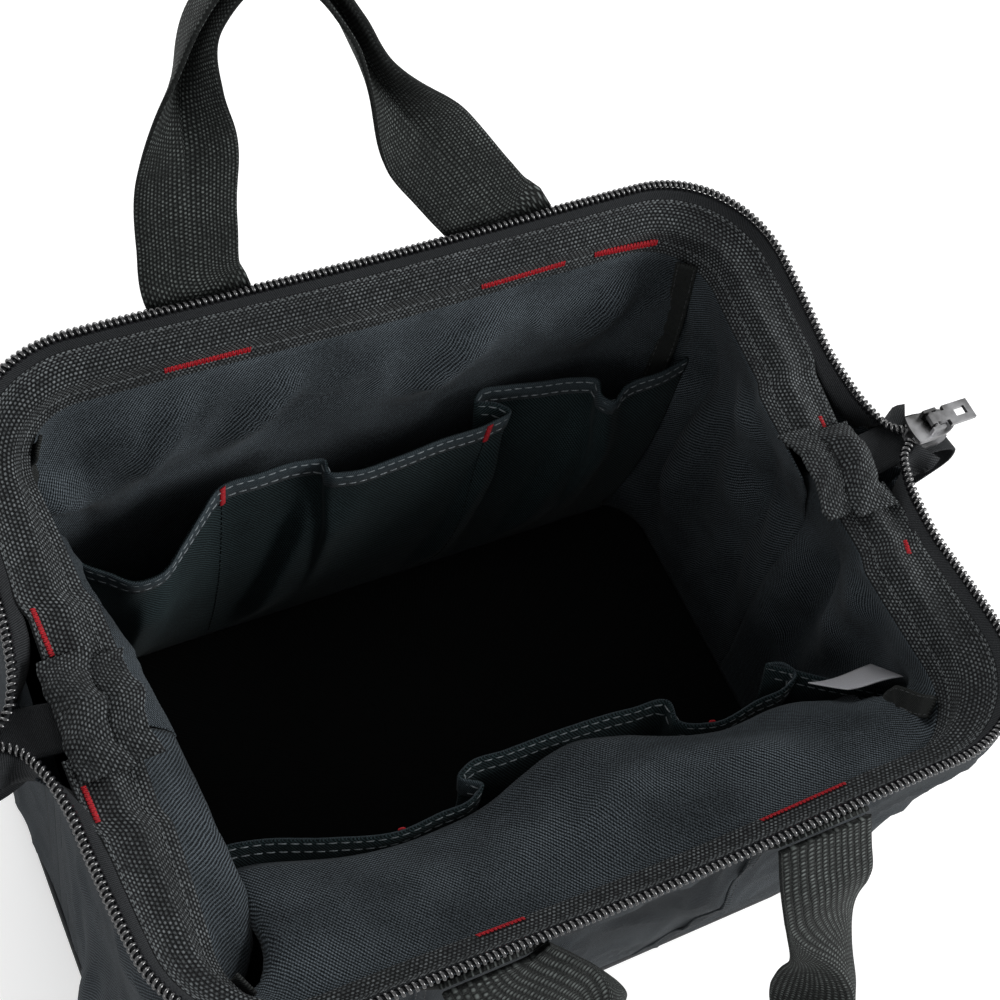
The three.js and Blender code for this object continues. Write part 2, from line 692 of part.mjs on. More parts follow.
// The folded cloth loop that the zip's end is sewn into.
function tailTab(side) {
  const top = TAIL_HEIGHT - SLIDER_HEIGHT / 2 - GAP;
  const near = BASE_LENGTH / 2 + 5;
  const outer = new THREE.Shape();
  outer.moveTo(near, top);
  outer.lineTo(near + TAIL_LENGTH, top);
  outer.quadraticCurveTo(near + TAIL_LENGTH + 8, top - 3, near + TAIL_LENGTH + 7, top - 10);
  outer.lineTo(near + TAIL_LENGTH * 0.6, top - TAIL_DEPTH);
  outer.lineTo(near + 1, top - TAIL_DEPTH * 0.45);
  outer.closePath();
  const hole = new THREE.Path();
  hole.moveTo(near + 6, top - 2);
  hole.lineTo(near + 4, top - TAIL_DEPTH * 0.4);
  hole.lineTo(near + TAIL_LENGTH * 0.6 - 1, top - TAIL_DEPTH + 3.5);
  hole.lineTo(near + TAIL_LENGTH + 4, top - 10);
  hole.lineTo(near + TAIL_LENGTH, top - 3);
  hole.closePath();
  outer.holes.push(hole);
  const tab = new THREE.ExtrudeGeometry(outer, { depth: TAIL_WIDTH, bevelEnabled: false, curveSegments: 5 });
  tab.translate(0, 0, -TAIL_WIDTH / 2).rotateX(Math.PI / 2);
  return side > 0 ? tab : tab.rotateZ(Math.PI);
}

// The slider: two shield-shaped plates on a wedge, with side lips and a bridge on top.
const SLIDER_X = BASE_LENGTH / 2 + SLIDER_LENGTH + 2 * GAP + SLIDER_LENGTH / 2;
const BRIDGE = 6;

function shield(thickness) {
  const [l, w] = [SLIDER_LENGTH / 2, SLIDER_WIDTH / 2];
  const shape = new THREE.Shape();
  shape.moveTo(-l, -w);
  shape.lineTo(l * 0.3, -w);
  shape.quadraticCurveTo(l * 0.8, -w * 0.9, l, -w * 0.62);
  shape.lineTo(l, w * 0.62);
  shape.quadraticCurveTo(l * 0.8, w * 0.9, l * 0.3, w);
  shape.lineTo(-l, w);
  shape.quadraticCurveTo(-l - 1.5, 0, -l, -w);
  return new THREE.ExtrudeGeometry(shape, { depth: thickness, bevelEnabled: false, curveSegments: 5 });
}

function sliderBody(side) {
  const [l, w, h] = [SLIDER_LENGTH / 2, SLIDER_WIDTH / 2, SLIDER_HEIGHT / 2];
  const plates = [-h, h - SLIDER_PLATE].map((z) => toSolid(shield(SLIDER_PLATE).translate(0, 0, z)));
  const wedge = new THREE.Shape([
    new THREE.Vector2(-l + 0.6, -w * 0.3),
    new THREE.Vector2(-l * 0.1, 0),
    new THREE.Vector2(-l + 0.6, w * 0.3),
  ]);
  const post = new THREE.ExtrudeGeometry(wedge, { depth: SLIDER_HEIGHT - 1, bevelEnabled: false });
  let solid = plates[0].add(plates[1]).add(toSolid(post.translate(0, 0, -h + 0.5)));
  for (const y of [-1, 1]) {
    for (const z of [-1, 1]) {
      const lip = block(SLIDER_LENGTH * 0.62, 1.1, 1.4, -l * 0.32, y * (w - 0.55), z * (h - SLIDER_PLATE - 0.4));
      solid = solid.add(toSolid(lip));
    }
  }
  const pinHeight = h + PULL_PIN * 1.4;
  for (const y of [-1, 1]) {
    solid = solid.add(toSolid(block(BRIDGE, 1.3, pinHeight - h + 2, 0, y * (PULL_WIDTH / 2 - 0.4), h - 1 + (pinHeight - h + 2) / 2)));
  }
  const axle = pin(PULL_PIN, new THREE.Vector3(0, -PULL_WIDTH / 2, pinHeight), new THREE.Vector3(0, PULL_WIDTH / 2, pinHeight), 14);
  solid = solid.add(toSolid(axle));
  const body = fromSolid(solid);
  if (side < 0) {
    body.rotateZ(Math.PI);
  }
  return body.translate(side * SLIDER_X, 0, TAIL_HEIGHT);
}

function pullTab(side) {
  const neck = PULL_WIDTH - 2 * (1.3 + GAP) - 1.2;
  const shape = new THREE.Shape();
  const [r, w] = [PULL_PIN / 2 + 1.3, PULL_WIDTH / 2];
  shape.absarc(0, 0, r, Math.PI / 2, 1.5 * Math.PI);
  shape.lineTo(BRIDGE / 2 + 2, -1);
  shape.lineTo(PULL_LENGTH, -0.8);
  shape.lineTo(PULL_LENGTH, 0.8);
  shape.lineTo(BRIDGE / 2 + 2, 1);
  shape.closePath();
  const profile = new THREE.ExtrudeGeometry(shape, { depth: PULL_WIDTH, bevelEnabled: false, curveSegments: 6 });
  profile.translate(0, 0, -w).rotateX(Math.PI / 2);
  let solid = toSolid(profile);
  for (const y of [-1, 1]) {
    const trim = (PULL_WIDTH - neck) / 2;
    solid = solid.subtract(toSolid(block(BRIDGE + 8, trim, 12, -1, y * (neck / 2 + trim / 2 + 0.01), 0)));
  }
  const bore = pin(PULL_PIN + 2 * GAP, new THREE.Vector3(0, -w, 0), new THREE.Vector3(0, w, 0), 14);
  const window = block(PULL_LENGTH * 0.3, PULL_WIDTH * 0.4, 12, PULL_LENGTH * 0.7, 0, 0);
  solid = solid.subtract(toSolid(bore)).subtract(toSolid(window));
  const body = fromSolid(solid);
  if (side < 0) {
    body.rotateZ(Math.PI);
  }
  return body.translate(side * SLIDER_X, 0, TAIL_HEIGHT + SLIDER_HEIGHT / 2 + PULL_PIN * 1.4);
}

// Handles: a strap whose grip is folded in half, hinged where its legs are sewn on

// The outer face of the mouth's cloth behind a handle: its top, and the seam it leans in to.
function clothFace(half) {
  const along = HANDLE_SPACING / 2 / (WIRE_X - MOUTH_CORNER);
  const bow = -half.bow * Math.cos((Math.PI / 2) * along) ** 2;
  const station = { x: 0, reach: ARM_LENGTH, outX: 0, outward: 1, bow };
  const edge = leaned(CLOTH + BAND, BAND_WIDTH / 2, rad(BAR_FLARE));
  const top = inHalf(half, station, edge.out, edge.up);
  const lean = Math.atan2(Math.abs(top.y) - BASE_DEPTH / 2 - SEAM_FLARE, top.z - SEAM_HEIGHT);
  return { depth: Math.abs(top.y), height: top.z, lean };
}

function anchorPatch(half, side) {
  const { depth, height, lean } = clothFace(half);
  const patch = block(HANDLE_WIDTH, WEBBING, ANCHOR_HEIGHT, 0, half.sign * (WEBBING / 2 + 3 * GAP), -ANCHOR_HEIGHT / 2);
  patch.rotateX(-half.sign * lean);
  return patch.translate(side * (HANDLE_SPACING / 2), half.sign * depth, height);
}

function foldedStrap(fold) {
  const bend = 1.5;
  const arm = HANDLE_WIDTH / 2;
  const arcs = [];
  for (let i = -2; i <= 2; i++) {
    const turn = (fold * i) / 2;
    arcs.push({ x: bend * Math.sin(turn), y: bend * (1 - Math.cos(turn)), turn });
  }
  const rest = arm - bend * fold;
  const first = arcs[0];
  const last = arcs[4];
  const line = [
    { x: first.x - rest * Math.cos(first.turn), y: first.y - rest * Math.sin(first.turn), turn: first.turn },
    ...arcs,
    { x: last.x + rest * Math.cos(last.turn), y: last.y + rest * Math.sin(last.turn), turn: last.turn },
  ];
  const shift = ({ x, y, turn }, side) => new THREE.Vector2(
    x - side * Math.sin(turn) * (WEBBING / 2),
    y + side * Math.cos(turn) * (WEBBING / 2),
  );
  return [...line.map((p) => shift(p, 1)), ...line.map((p) => shift(p, -1)).reverse()];
}

function handle(half, angle) {
  const { depth, height } = clothFace(half);
  const root = new THREE.Vector3(0, half.sign * (depth + WEBBING + 3 * GAP + 0.8), height - 4 * GAP);
  const along = new THREE.Vector3(0, half.sign * Math.cos(rad(angle)), Math.sin(rad(angle)));
  const face = new THREE.Vector3(0, -half.sign * Math.sin(rad(angle)), Math.cos(rad(angle)));
  const spread = HANDLE_SPACING / 2;
  const arch = [
    [spread, 0], [spread, HANDLE_REACH * 0.12], [spread * 0.96, HANDLE_REACH * 0.4], [spread * 0.86, HANDLE_REACH * 0.68],
    [spread * 0.6, HANDLE_REACH * 0.91], [spread * 0.2, HANDLE_REACH * 0.995],
  ];
  const left = arch.map(([x, s]) => [-x, s]).reverse();
  const curve = new THREE.CatmullRomCurve3([...arch, ...left].map(([x, s]) => new THREE.Vector3(x, s, 0)));
  const steps = 36;
  const rings = [];
  for (let i = 0; i <= steps; i++) {
    const point = curve.getPointAt(i / steps);
    const run = curve.getTangentAt(i / steps);
    const across = new THREE.Vector2(-run.y, run.x);
    const endCap = i === 0 || i === steps;
    const side = endCap ? new THREE.Vector2(Math.sign(-point.x), 0) : across;
    const fold = rad(84) * smooth(point.y, HANDLE_REACH * 0.3, HANDLE_REACH * 0.62);
    rings.push(foldedStrap(fold).map((s) => {
      const flatX = point.x + (endCap && point.x > 0 ? -1 : 1) * side.x * s.x * (endCap ? Math.sign(point.x) : 1);
      const flatS = point.y + (endCap ? 0 : side.y * s.x);
      return new THREE.Vector3(flatX, 0, 0).addScaledVector(along, flatS).addScaledVector(face, s.y).add(root);
    }));
  }
  return loft(rings, foldedStrap(0));
}

// Assembly

function buildBody() {
  add("bottom_panel", rounded(BASE_LENGTH, BASE_DEPTH, BASE_CORNER, WALL), BLACK_CLOTH);
  const inset = 2 * (WALL + GAP);
  const board = rounded(BASE_LENGTH - inset, BASE_DEPTH - inset, BASE_CORNER - WALL - GAP, BOARD);
  add("base_board", board.translate(0, 0, WALL + GAP), HARDBOARD);
  add("bottom_binding", bottomBinding(), BLACK_WEBBING);
  const [front, back] = HALVES;
  add("front_lower_wall", longWall(front), BLACK_CLOTH);
  add("back_lower_wall", longWall(back), BLACK_CLOTH);
  add("right_end_wall", endWall(1), BLACK_CLOTH);
  add("left_end_wall", endWall(-1), BLACK_CLOTH);
  for (const half of HALVES) {
    add(`${half.name}_right_seam_tape`, seamTape(half, 1), BLACK_WEBBING);
    add(`${half.name}_left_seam_tape`, seamTape(half, -1), BLACK_WEBBING);
  }
  addPockets(back, { dividers: [-0.234, 0.169], pleats: [-0.356, -0.065, 0.424], slump: 0 });
  addPockets(front, { dividers: [-0.194, 0.266], pleats: [-0.36, -0.079, 0.403], slump: POCKET_SLUMP });
  add("blank_tag", blankTag(), WHITE_TAG);
}

function buildHalf(half, handleAngle) {
  add(`${half.name}_frame_wire`, frameWire(half), STEEL);
  add(`${half.name}_band`, frameBand(half), BLACK_WEBBING);
  add(`${half.name}_mouth_wall`, mouthWall(half), BLACK_CLOTH);
  if (half.name === "front") add("front_lining", slumpedLining(half, POCKET_SLUMP), LINING);
  add(`${half.name}_zip_tape`, zipTape(half), ZIP_CLOTH);
  add(`${half.name}_zip_coil`, zipCoil(half), COIL_NYLON);
  add(`${half.name}_right_handle_anchor`, anchorPatch(half, 1), BLACK_WEBBING);
  add(`${half.name}_left_handle_anchor`, anchorPatch(half, -1), BLACK_WEBBING);
  add(`${half.name}_handle`, handle(half, handleAngle), BLACK_WEBBING);
}

function buildEnd(name, side) {
  const [front, back] = HALVES;
  add(`${name}_rivet`, rivetHalf(front, side), STEEL);
  add(`${name}_rivet_cap`, rivetHalf(back, side), STEEL);
  const coverX = WIRE_X + 2.5;
  const stripX = coverX - (COVER_WIDTH + STRIP_WIDTH) / 2 - GAP;
  add(`${name}_hinge_cover`, hingeWebbing(side, coverX, COVER_WIDTH, COVER_PUFF), BLACK_WEBBING);
  add(`${name}_hinge_strip`, hingeWebbing(side, stripX, STRIP_WIDTH, 0), BLACK_WEBBING);
  add(`${name}_tail_tab`, tailTab(side), ZIP_CLOTH);
  add(`${name}_slider`, sliderBody(side), STEEL);
  add(`${name}_pull`, pullTab(side), STEEL);
}

buildBody();
buildHalf(HALVES[0], FRONT_HANDLE_ANGLE);
buildHalf(HALVES[1], BACK_HANDLE_ANGLE);
buildEnd("right", 1);
buildEnd("left", -1);

export default bag;
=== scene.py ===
# A zippered tool bag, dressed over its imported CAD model. Millimetres here, metres in Blender.
import math
from functools import partialmethod

import bmesh
import bpy
import numpy as np
from mathutils import Matrix, Vector, noise


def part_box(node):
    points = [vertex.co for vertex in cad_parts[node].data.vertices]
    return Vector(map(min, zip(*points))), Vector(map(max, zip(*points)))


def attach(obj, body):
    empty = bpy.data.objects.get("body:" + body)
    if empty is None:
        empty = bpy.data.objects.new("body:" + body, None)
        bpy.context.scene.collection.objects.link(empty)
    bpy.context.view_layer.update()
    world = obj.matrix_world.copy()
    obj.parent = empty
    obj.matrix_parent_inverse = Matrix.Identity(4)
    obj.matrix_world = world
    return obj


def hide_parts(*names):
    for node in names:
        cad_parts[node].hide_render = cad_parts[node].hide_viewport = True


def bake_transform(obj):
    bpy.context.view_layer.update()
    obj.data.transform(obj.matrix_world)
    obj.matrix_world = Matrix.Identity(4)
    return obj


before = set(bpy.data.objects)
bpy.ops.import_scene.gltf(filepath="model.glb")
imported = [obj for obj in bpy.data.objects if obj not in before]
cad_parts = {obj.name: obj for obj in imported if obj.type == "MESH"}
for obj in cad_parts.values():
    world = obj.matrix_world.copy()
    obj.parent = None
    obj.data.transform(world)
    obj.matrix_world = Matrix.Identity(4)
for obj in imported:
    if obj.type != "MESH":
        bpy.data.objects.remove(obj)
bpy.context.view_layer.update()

MM = 0.001
HALVES = ("front", "back")
SIDES = {"right": 1, "left": -1}

# Sizes, as in the CAD source
BASE_LENGTH = 330.0
BASE_DEPTH = 216.0
BASE_CORNER = 25.0
TOP_CORNER = 12.0
WALL = 1.6
GAP = 0.3
SEAM_HEIGHT = 180.0
SEAM_FLARE = 11.0
WALL_BELLY = 3.0
PIVOT = 200.0
REACH = 120.0
MOUTH_CORNER = 34.0
BAR_FLARE = math.radians(26)
WIRE = 4.5
WIRE_STEP = 2.6
STEP_START, STEP_END = 36.5, 45.5
BAND_START, BAND_END = 50.0, 13.0
BAND_WIDTH = 25.0
BAND = 1.4
TAPE_REACH = 3.5
COIL = 4.4
COIL_PITCH = 2.36
HANDLE_WIDTH = 38.0
HANDLE_X = 63.5

WIRE_X = BASE_LENGTH / 2 - WALL - GAP - BAND_WIDTH / 2 - GAP
CORNER_X = WIRE_X - MOUTH_CORNER
CORNER_R = REACH - MOUTH_CORNER
COIL_OUT = BAND_WIDTH / 2 + TAPE_REACH + COIL / 2 + GAP
COIL_FACE = WIRE / 2 - BAND / 2
BAND_FACE = WIRE / 2 - BAND
TAIL_X = BASE_LENGTH / 2 + 18 + GAP
TAIL_Z = PIVOT + 4.5 + GAP

# By half: the way it faces, how far its arms rise, and how far its bar sags in the middle
SIGN = {"front": -1, "back": 1}
SLOPE = {"front": math.radians(2), "back": math.radians(8)}
BOW = {"front": 8.0, "back": 3.0}


# The mouth's geometry

def leaned(p, q, flare):
    return p * np.cos(flare) + q * np.sin(flare), q * np.cos(flare) - p * np.sin(flare)


def bisect(test, low, high):
    for _ in range(44):
        middle = (low + high) / 2
        if test(middle) > 0:
            high = middle
        else:
            low = middle
    return (low + high) / 2


def miss(reach, outward, flare, raised):
    """How far the coil stays from the middle plane when its half is raised."""
    out, up = leaned(COIL_FACE, COIL_OUT, flare)
    return (reach + outward * out) * math.cos(raised) - up * math.sin(raised) - COIL / 2 - GAP


CLOSED = bisect(lambda raised: -miss(REACH, 1, BAR_FLARE, raised), 0, math.pi / 2)


def smooth(x, low, high):
    t = np.clip((x - low) / (high - low), 0, 1)
    return t * t * (3 - 2 * t)


def mix(a, b, t):
    return a + (b - a) * t


def stations(half, start=BAND_START, step=2.0):
    """Along the wire, from the right arm round the bar to the left arm.

    A row is x, reach, outward x, outward reach, flare and bow.
    """
    def even(length):
        count = round(length / step)
        return [i / count for i in range(count)]

    arm = CORNER_R - start
    rows = [(WIRE_X, start + arm * t, 1, 0) for t in even(arm)]
    for t in even(MOUTH_CORNER * math.pi / 2):
        across, outward = math.cos(t * math.pi / 2), math.sin(t * math.pi / 2)
        rows.append((CORNER_X + MOUTH_CORNER * across, CORNER_R + MOUTH_CORNER * outward, across, outward))
    rows += [(CORNER_X * (1 - t), REACH, 0, 1) for t in even(CORNER_X)]
    mirrored = [(-x, r, -across, outward) for x, r, across, outward in reversed(rows)]
    full = []
    for x, r, across, outward in rows + [(0, REACH, 0, 1)] + mirrored:
        if outward == 0:
            stepped = 1 - float(smooth(r, STEP_START, STEP_END))
            x -= math.copysign(1, x) * SIGN[half] * WIRE_STEP * stepped
        along = min(abs(x) / CORNER_X, 1)
        flare = bisect(lambda f: miss(r, outward, f, CLOSED), 0, math.pi / 2)
        full.append((x, r, across, outward, flare, -BOW[half] * math.cos(math.pi / 2 * along) ** 2))
    return np.array(full)


def place(half, rows, p, q):
    """Points of the band's section (p out of its face, q up it) at every station."""
    x, reach, across, outward, flare, bow = rows.T
    out, up = leaned(p, q, flare)
    r, lift = reach + outward * out, up + bow
    cos, sin = math.cos(SLOPE[half]), math.sin(SLOPE[half])
    y, z = SIGN[half] * (r * cos - lift * sin), PIVOT + r * sin + lift * cos
    return np.stack([x + across * out, y, z], 1)


def arclength(line):
    return np.concatenate([[0], np.cumsum(np.linalg.norm(np.diff(line, axis=0), axis=1))])


def sample(at, s, table):
    """The columns of a table that is known at s, read off at other places."""
    return np.stack([np.interp(at, s, column) for column in table.T], 1)


def resample(line, step, *others):
    """The line at even steps, with other tables carried along."""
    s = arclength(line)
    at = np.linspace(0, s[-1], max(2, round(s[-1] / step) + 1))
    parts = [sample(at, s, table) for table in (line, *others)]
    return parts if others else parts[0]


def unit(v):
    return v / np.maximum(np.linalg.norm(v, axis=-1, keepdims=True), 1e-9)


def level(v):
    """The vectors' directions in plan."""
    return unit(v * [1, 1, 0])


def facing(vectors, away):
    """The vectors, turned round where they point against the other ones."""
    return np.where((vectors * away).sum(-1, keepdims=True) > 0, vectors, -vectors)


def tangents(line):
    return unit(np.gradient(line, axis=0))


def normals(grid):
    return unit(np.cross(np.gradient(grid, axis=0), np.gradient(grid, axis=1)))


def cubic(t, start, start_slope, end, end_slope):
    """A cubic between two points, by the slopes at its ends."""
    near = 2 * t ** 3 - 3 * t ** 2 + 1
    slopes = (t ** 3 - 2 * t ** 2 + t) * start_slope + (t ** 3 - t ** 2) * end_slope
    return near * start + (1 - near) * end + slopes


def hermite(s, keys, at):
    slope = np.gradient(keys, s, axis=0)
    i = np.clip(np.searchsorted(s, at, side="right") - 1, 0, len(s) - 2)
    run = (s[i + 1] - s[i])[:, None]
    return cubic((at - s[i])[:, None] / run, keys[i], run * slope[i], keys[i + 1], run * slope[i + 1])


def curve(keys, count, cut=0.0):
    """A smooth curve through unevenly spaced points, which may stop short of the last one."""
    keys = np.array(keys, float)
    s = arclength(keys)
    return hermite(s, keys, np.linspace(0, s[-1] - cut, count))


# Mesh helpers: every point is in millimetres

def new_object(name, data):
    obj = bpy.data.objects.new(name, data)
    bpy.context.scene.collection.objects.link(obj)
    return obj


def make(name, verts, faces, material, uvs=None, shade=True):
    mesh = bpy.data.meshes.new(name)
    mesh.from_pydata((np.reshape(verts, (-1, 3)) * MM).tolist(), [], faces)
    mesh.update()
    if uvs is not None:
        layer = mesh.uv_layers.new(name="UVMap")
        corners = np.zeros(len(mesh.loops), dtype=np.int32)
        mesh.loops.foreach_get("vertex_index", corners)
        layer.data.foreach_set("uv", np.reshape(uvs, (-1, 2)).astype(np.float32)[corners].ravel())
    if shade:
        mesh.polygons.foreach_set("use_smooth", [True] * len(mesh.polygons))
    mesh.materials.append(material)
    return new_object(name, mesh)


def outward_faces(obj):
    """Turns the faces of a closed body to the outside."""
    bm = bmesh.new()
    bm.from_mesh(obj.data)
    bmesh.ops.recalc_face_normals(bm, faces=bm.faces)
    if bm.calc_volume(signed=True) < 0:
        bmesh.ops.reverse_faces(bm, faces=bm.faces)
    bm.to_mesh(obj.data)
    bm.free()
    return obj


def skin(n, m, base=0, closed=False):
    """Faces over n rings of m points each, with a cap at both ends unless the rings run in a circle."""
    faces = []
    for i in range(n if closed else n - 1):
        a, b = base + i * m, base + (i + 1) % n * m
        faces += [(a + j, a + (j + 1) % m, b + (j + 1) % m, b + j) for j in range(m)]
    if not closed:
        last = base + (n - 1) * m
        faces += [tuple(range(base + m - 1, base - 1, -1)), tuple(range(last, last + m))]
    return faces


def uv_grid(u, v):
    return np.stack(np.meshgrid(u, v, indexing="ij"), -1)


def tube(name, rings, material, u=None, v=None, closed=False):
    """A closed body through rings (n, m, 3). u runs along the rings and v around them."""
    n, m, _ = rings.shape
    u = arclength(rings[:, 0]) if u is None else u
    v = np.arange(m) if v is None else v
    return outward_faces(make(name, rings, skin(n, m, closed=closed), material, uv_grid(u, v)))


def sheet(name, grid, material, uv, thick):
    """A cloth sheet from a grid (n, m, 3), thickened on both sides of its middle."""
    n, m, _ = grid.shape
    half = normals(grid) * thick / 2
    k = n * m
    faces = []
    for i in range(n - 1):
        for j in range(m - 1):
            a = i * m + j
            b, c, d = a + 1, a + m + 1, a + m
            faces += [(a, d, c, b), (a + k, b + k, c + k, d + k)]
    edge = [i * m for i in range(n)] + [(n - 1) * m + j for j in range(1, m)]
    edge += [i * m + m - 1 for i in range(n - 2, -1, -1)] + list(range(m - 2, 0, -1))
    faces += [(a, b, b + k, a + k) for a, b in zip(edge, edge[1:] + edge[:1])]
    return outward_faces(make(name, [grid + half, grid - half], faces, material, [uv, uv]))


def sweep(line, side, normal, shape):
    """A section's points, side and normal shares of each, at every point of the line."""
    return np.stack([line + side * a + normal * b for a, b in shape], 1)


def circle(count):
    turn = np.arange(count) / count * 2 * math.pi
    return np.cos(turn), np.sin(turn)


def round_section(count, radius):
    cos, sin = circle(count)
    return list(zip(cos * radius, sin * radius))


STRAP_EDGE = 2.2


def section_ribbon(name, line, side, normal, width, thick, material):
    """A strap along a line: side is across it and normal out of it, both per point."""
    w, t = width / 2, thick / 2
    near, round_off = w - STRAP_EDGE, w - t * 0.4
    upper = [(w, t / 2), (round_off, t), (near, t), (0, t), (-near, t), (-round_off, t), (-w, t / 2)]
    shape = [(a, -b) for a, b in reversed(upper)] + upper
    return tube(name, sweep(line, side, normal, shape), material, arclength(line), [a for a, _ in shape])


# A stitch's rings: place along it, width and rise, all as shares
STITCH = [(-0.5, 0.35, -0.5), (-0.36, 0.9, 0.0), (0, 1.0, 0.25), (0.36, 0.9, 0.0), (0.5, 0.35, -0.5)]
STITCH_SIDES = 6
STITCH_SUNK = 0.25
STITCH_SHARE = 0.72
# Rows of stitches: pitch and radius
STITCHES = {"webbing": (3.4, 0.24), "wall": (3.2, 0.22), "hem": (4.6, 0.3), "pocket": (3.6, 0.3),
            "anchor": (3.2, 0.3)}
TACK_PITCH = 0.75
TACK_LEAN = 0.12
TACK_RADIUS = 0.42
TACK_WIDTH = {"band": 3.4, "pocket": 3.0, "hinge": 2.1}


def threads(name, centres, along, up, length, radius, material):
    """Many short rounded stitches in one mesh."""
    along = unit(along)
    up = unit(up - along * (up * along).sum(1, keepdims=True))
    side = np.cross(along, up)
    at, wide, rise = (np.array(column)[:, None, None] for column in zip(*STITCH))
    cos, sin = (part[:, None] for part in circle(STITCH_SIDES))
    c, a, s, u = (part[:, None, None] for part in (centres, along * length, side * radius, up * radius))
    verts = c + a * at + s * cos * wide + u * (sin * wide + rise - STITCH_SUNK)
    rings = len(STITCH)
    bases = range(0, len(centres) * rings * STITCH_SIDES, rings * STITCH_SIDES)
    return make(name, verts, [face for base in bases for face in skin(rings, STITCH_SIDES, base)], material)


def middles(table):
    return (table[:-1] + table[1:]) / 2


def stitch_row(name, line, up, material, kind, share=STITCH_SHARE):
    pitch, radius = STITCHES[kind]
    line, up = resample(line, pitch, up)
    return threads(name, middles(line), np.diff(line, axis=0), middles(up), pitch * share, radius, material)


def bar_tack(name, start, end, up, kind):
    """A dense row of red cross stitches from start to end."""
    run, up = end - start, unit(np.array(up, float))
    count = max(4, round(np.linalg.norm(run) / TACK_PITCH))
    order = np.arange(count)[:, None]
    lean = np.where(order % 2, 1, -1) * unit(run) * TACK_LEAN
    across = unit(np.cross(up, run)) + lean
    centres = start + run * (order + 0.5) / count
    return threads(name, centres, across, np.tile(up, (count, 1)), TACK_WIDTH[kind], TACK_RADIUS, M_RED)


# Materials

class Value:
    """An output of a node, which can be reckoned with."""

    def __init__(self, socket):
        self.socket = socket
        self.tree = socket.id_data

    def calc(self, operation, *others):
        return feed(self.tree, "Math", dict(enumerate((self, *others))), operation=operation)

    __add__ = partialmethod(calc, "ADD")
    __sub__ = partialmethod(calc, "SUBTRACT")
    __mul__ = partialmethod(calc, "MULTIPLY")
    __truediv__ = partialmethod(calc, "DIVIDE")

    def ramp(self, low, high, start=0.0, end=1.0):
        """What lies between low and high, carried over to lie between start and end."""
        limits = {"From Min": low, "From Max": high, "To Min": start, "To Max": end}
        return feed(self.tree, "MapRange", {"Value": self, **limits})


def plug(node, inputs):
    """Sets a node's inputs to numbers and colours, or feeds them with values."""
    for socket, value in inputs.items():
        if isinstance(value, Value):
            value.tree.links.new(value.socket, node.inputs[socket])
        else:
            node.inputs[socket].default_value = value


def feed(tree, kind, inputs, output=0, **settings):
    """One output of a new shader node."""
    node = tree.nodes.new("ShaderNode" + kind)
    for key, value in settings.items():
        setattr(node, key, value)
    plug(node, inputs)
    return Value(node.outputs[output])


class Paint:
    """A material and the nodes that feed its shader."""

    def __init__(self, name, base, rough, metal=0.0, sheen=0.0, gloss=0.5):
        self.material = bpy.data.materials.new(name)
        self.material.use_nodes = True
        self.tree = self.material.node_tree
        self.shader = self.tree.nodes["Principled BSDF"]
        plug(self.shader, {"Base Color": (*base, 1), "Roughness": rough, "Metallic": metal,
                           "Specular IOR Level": gloss})
        if sheen:
            plug(self.shader, {"Sheen Weight": sheen, "Sheen Roughness": 0.4})
        self.coords = self.tree.nodes.new("ShaderNodeTexCoord").outputs
        self.place = Value(self.coords["Object"])

    def noise(self, scale, detail=2.0):
        return feed(self.tree, "TexNoise", {"Vector": self.place, "Scale": scale, "Detail": detail})

    def cloth_axes(self):
        uv = Value(self.coords["UV"])
        return (feed(self.tree, "SeparateXYZ", {0: uv}, output=axis) for axis in (0, 1))

    def chance(self, column, row):
        """A random value for each cell of a grid."""
        cell = feed(self.tree, "CombineXYZ", {0: column, 1: row})
        return feed(self.tree, "TexWhiteNoise", {"Vector": cell}, noise_dimensions="2D")

    def finish(self, tone, dark, light, height, strength, distance):
        """The colours, from dark to light by the tone, and the bumps."""
        colours = {0: tone, 6: (*dark, 1), 7: (*light, 1)}
        colour = feed(self.tree, "Mix", colours, output=2, data_type="RGBA")
        normal = feed(self.tree, "Bump", {"Height": height, "Strength": strength, "Distance": distance})
        plug(self.shader, {"Base Color": colour, "Normal": normal})
        return self.material


def webbing(name, dark, light, along, across, highlight_start):
    """A woven strap: rows of thread ends that wander with the cloth, each with a painted highlight on its
    crest, a little stronger or weaker at random.
    """
    paint = Paint(name, dark, 0.75, sheen=0.03, gloss=0.15)
    u, v = paint.cloth_axes()
    drift = (paint.noise(95.0) - 0.5) * 1.3
    v = (v + drift * 0.4) / across
    row = v.calc("FLOOR")
    u = (u + drift) / along + row * 0.5
    hump = (u.calc("FRACT") * math.pi).calc("SINE") * (v.calc("FRACT") * math.pi).calc("SINE")
    luck = paint.chance(u.calc("FLOOR"), row)
    patch = paint.noise(45.0, 3.0).ramp(0.3, 0.7, 0.55, 1.15)
    fibre = paint.noise(1500.0).ramp(0.5, 0.8, 0.0, 0.18)
    # The light colour is a painted highlight on the crest of each woven end; luck and patch make it
    # stronger or weaker at random, and the fibre noise is the strap's own grain.
    crest_highlight = hump.ramp(highlight_start, 1.0) * luck.ramp(0, 1, 0.3, 1.0) * patch
    return paint.finish(crest_highlight + fibre, dark, light, hump.calc("POWER", 0.6) + luck * 0.3, 0.8, 0.0005)


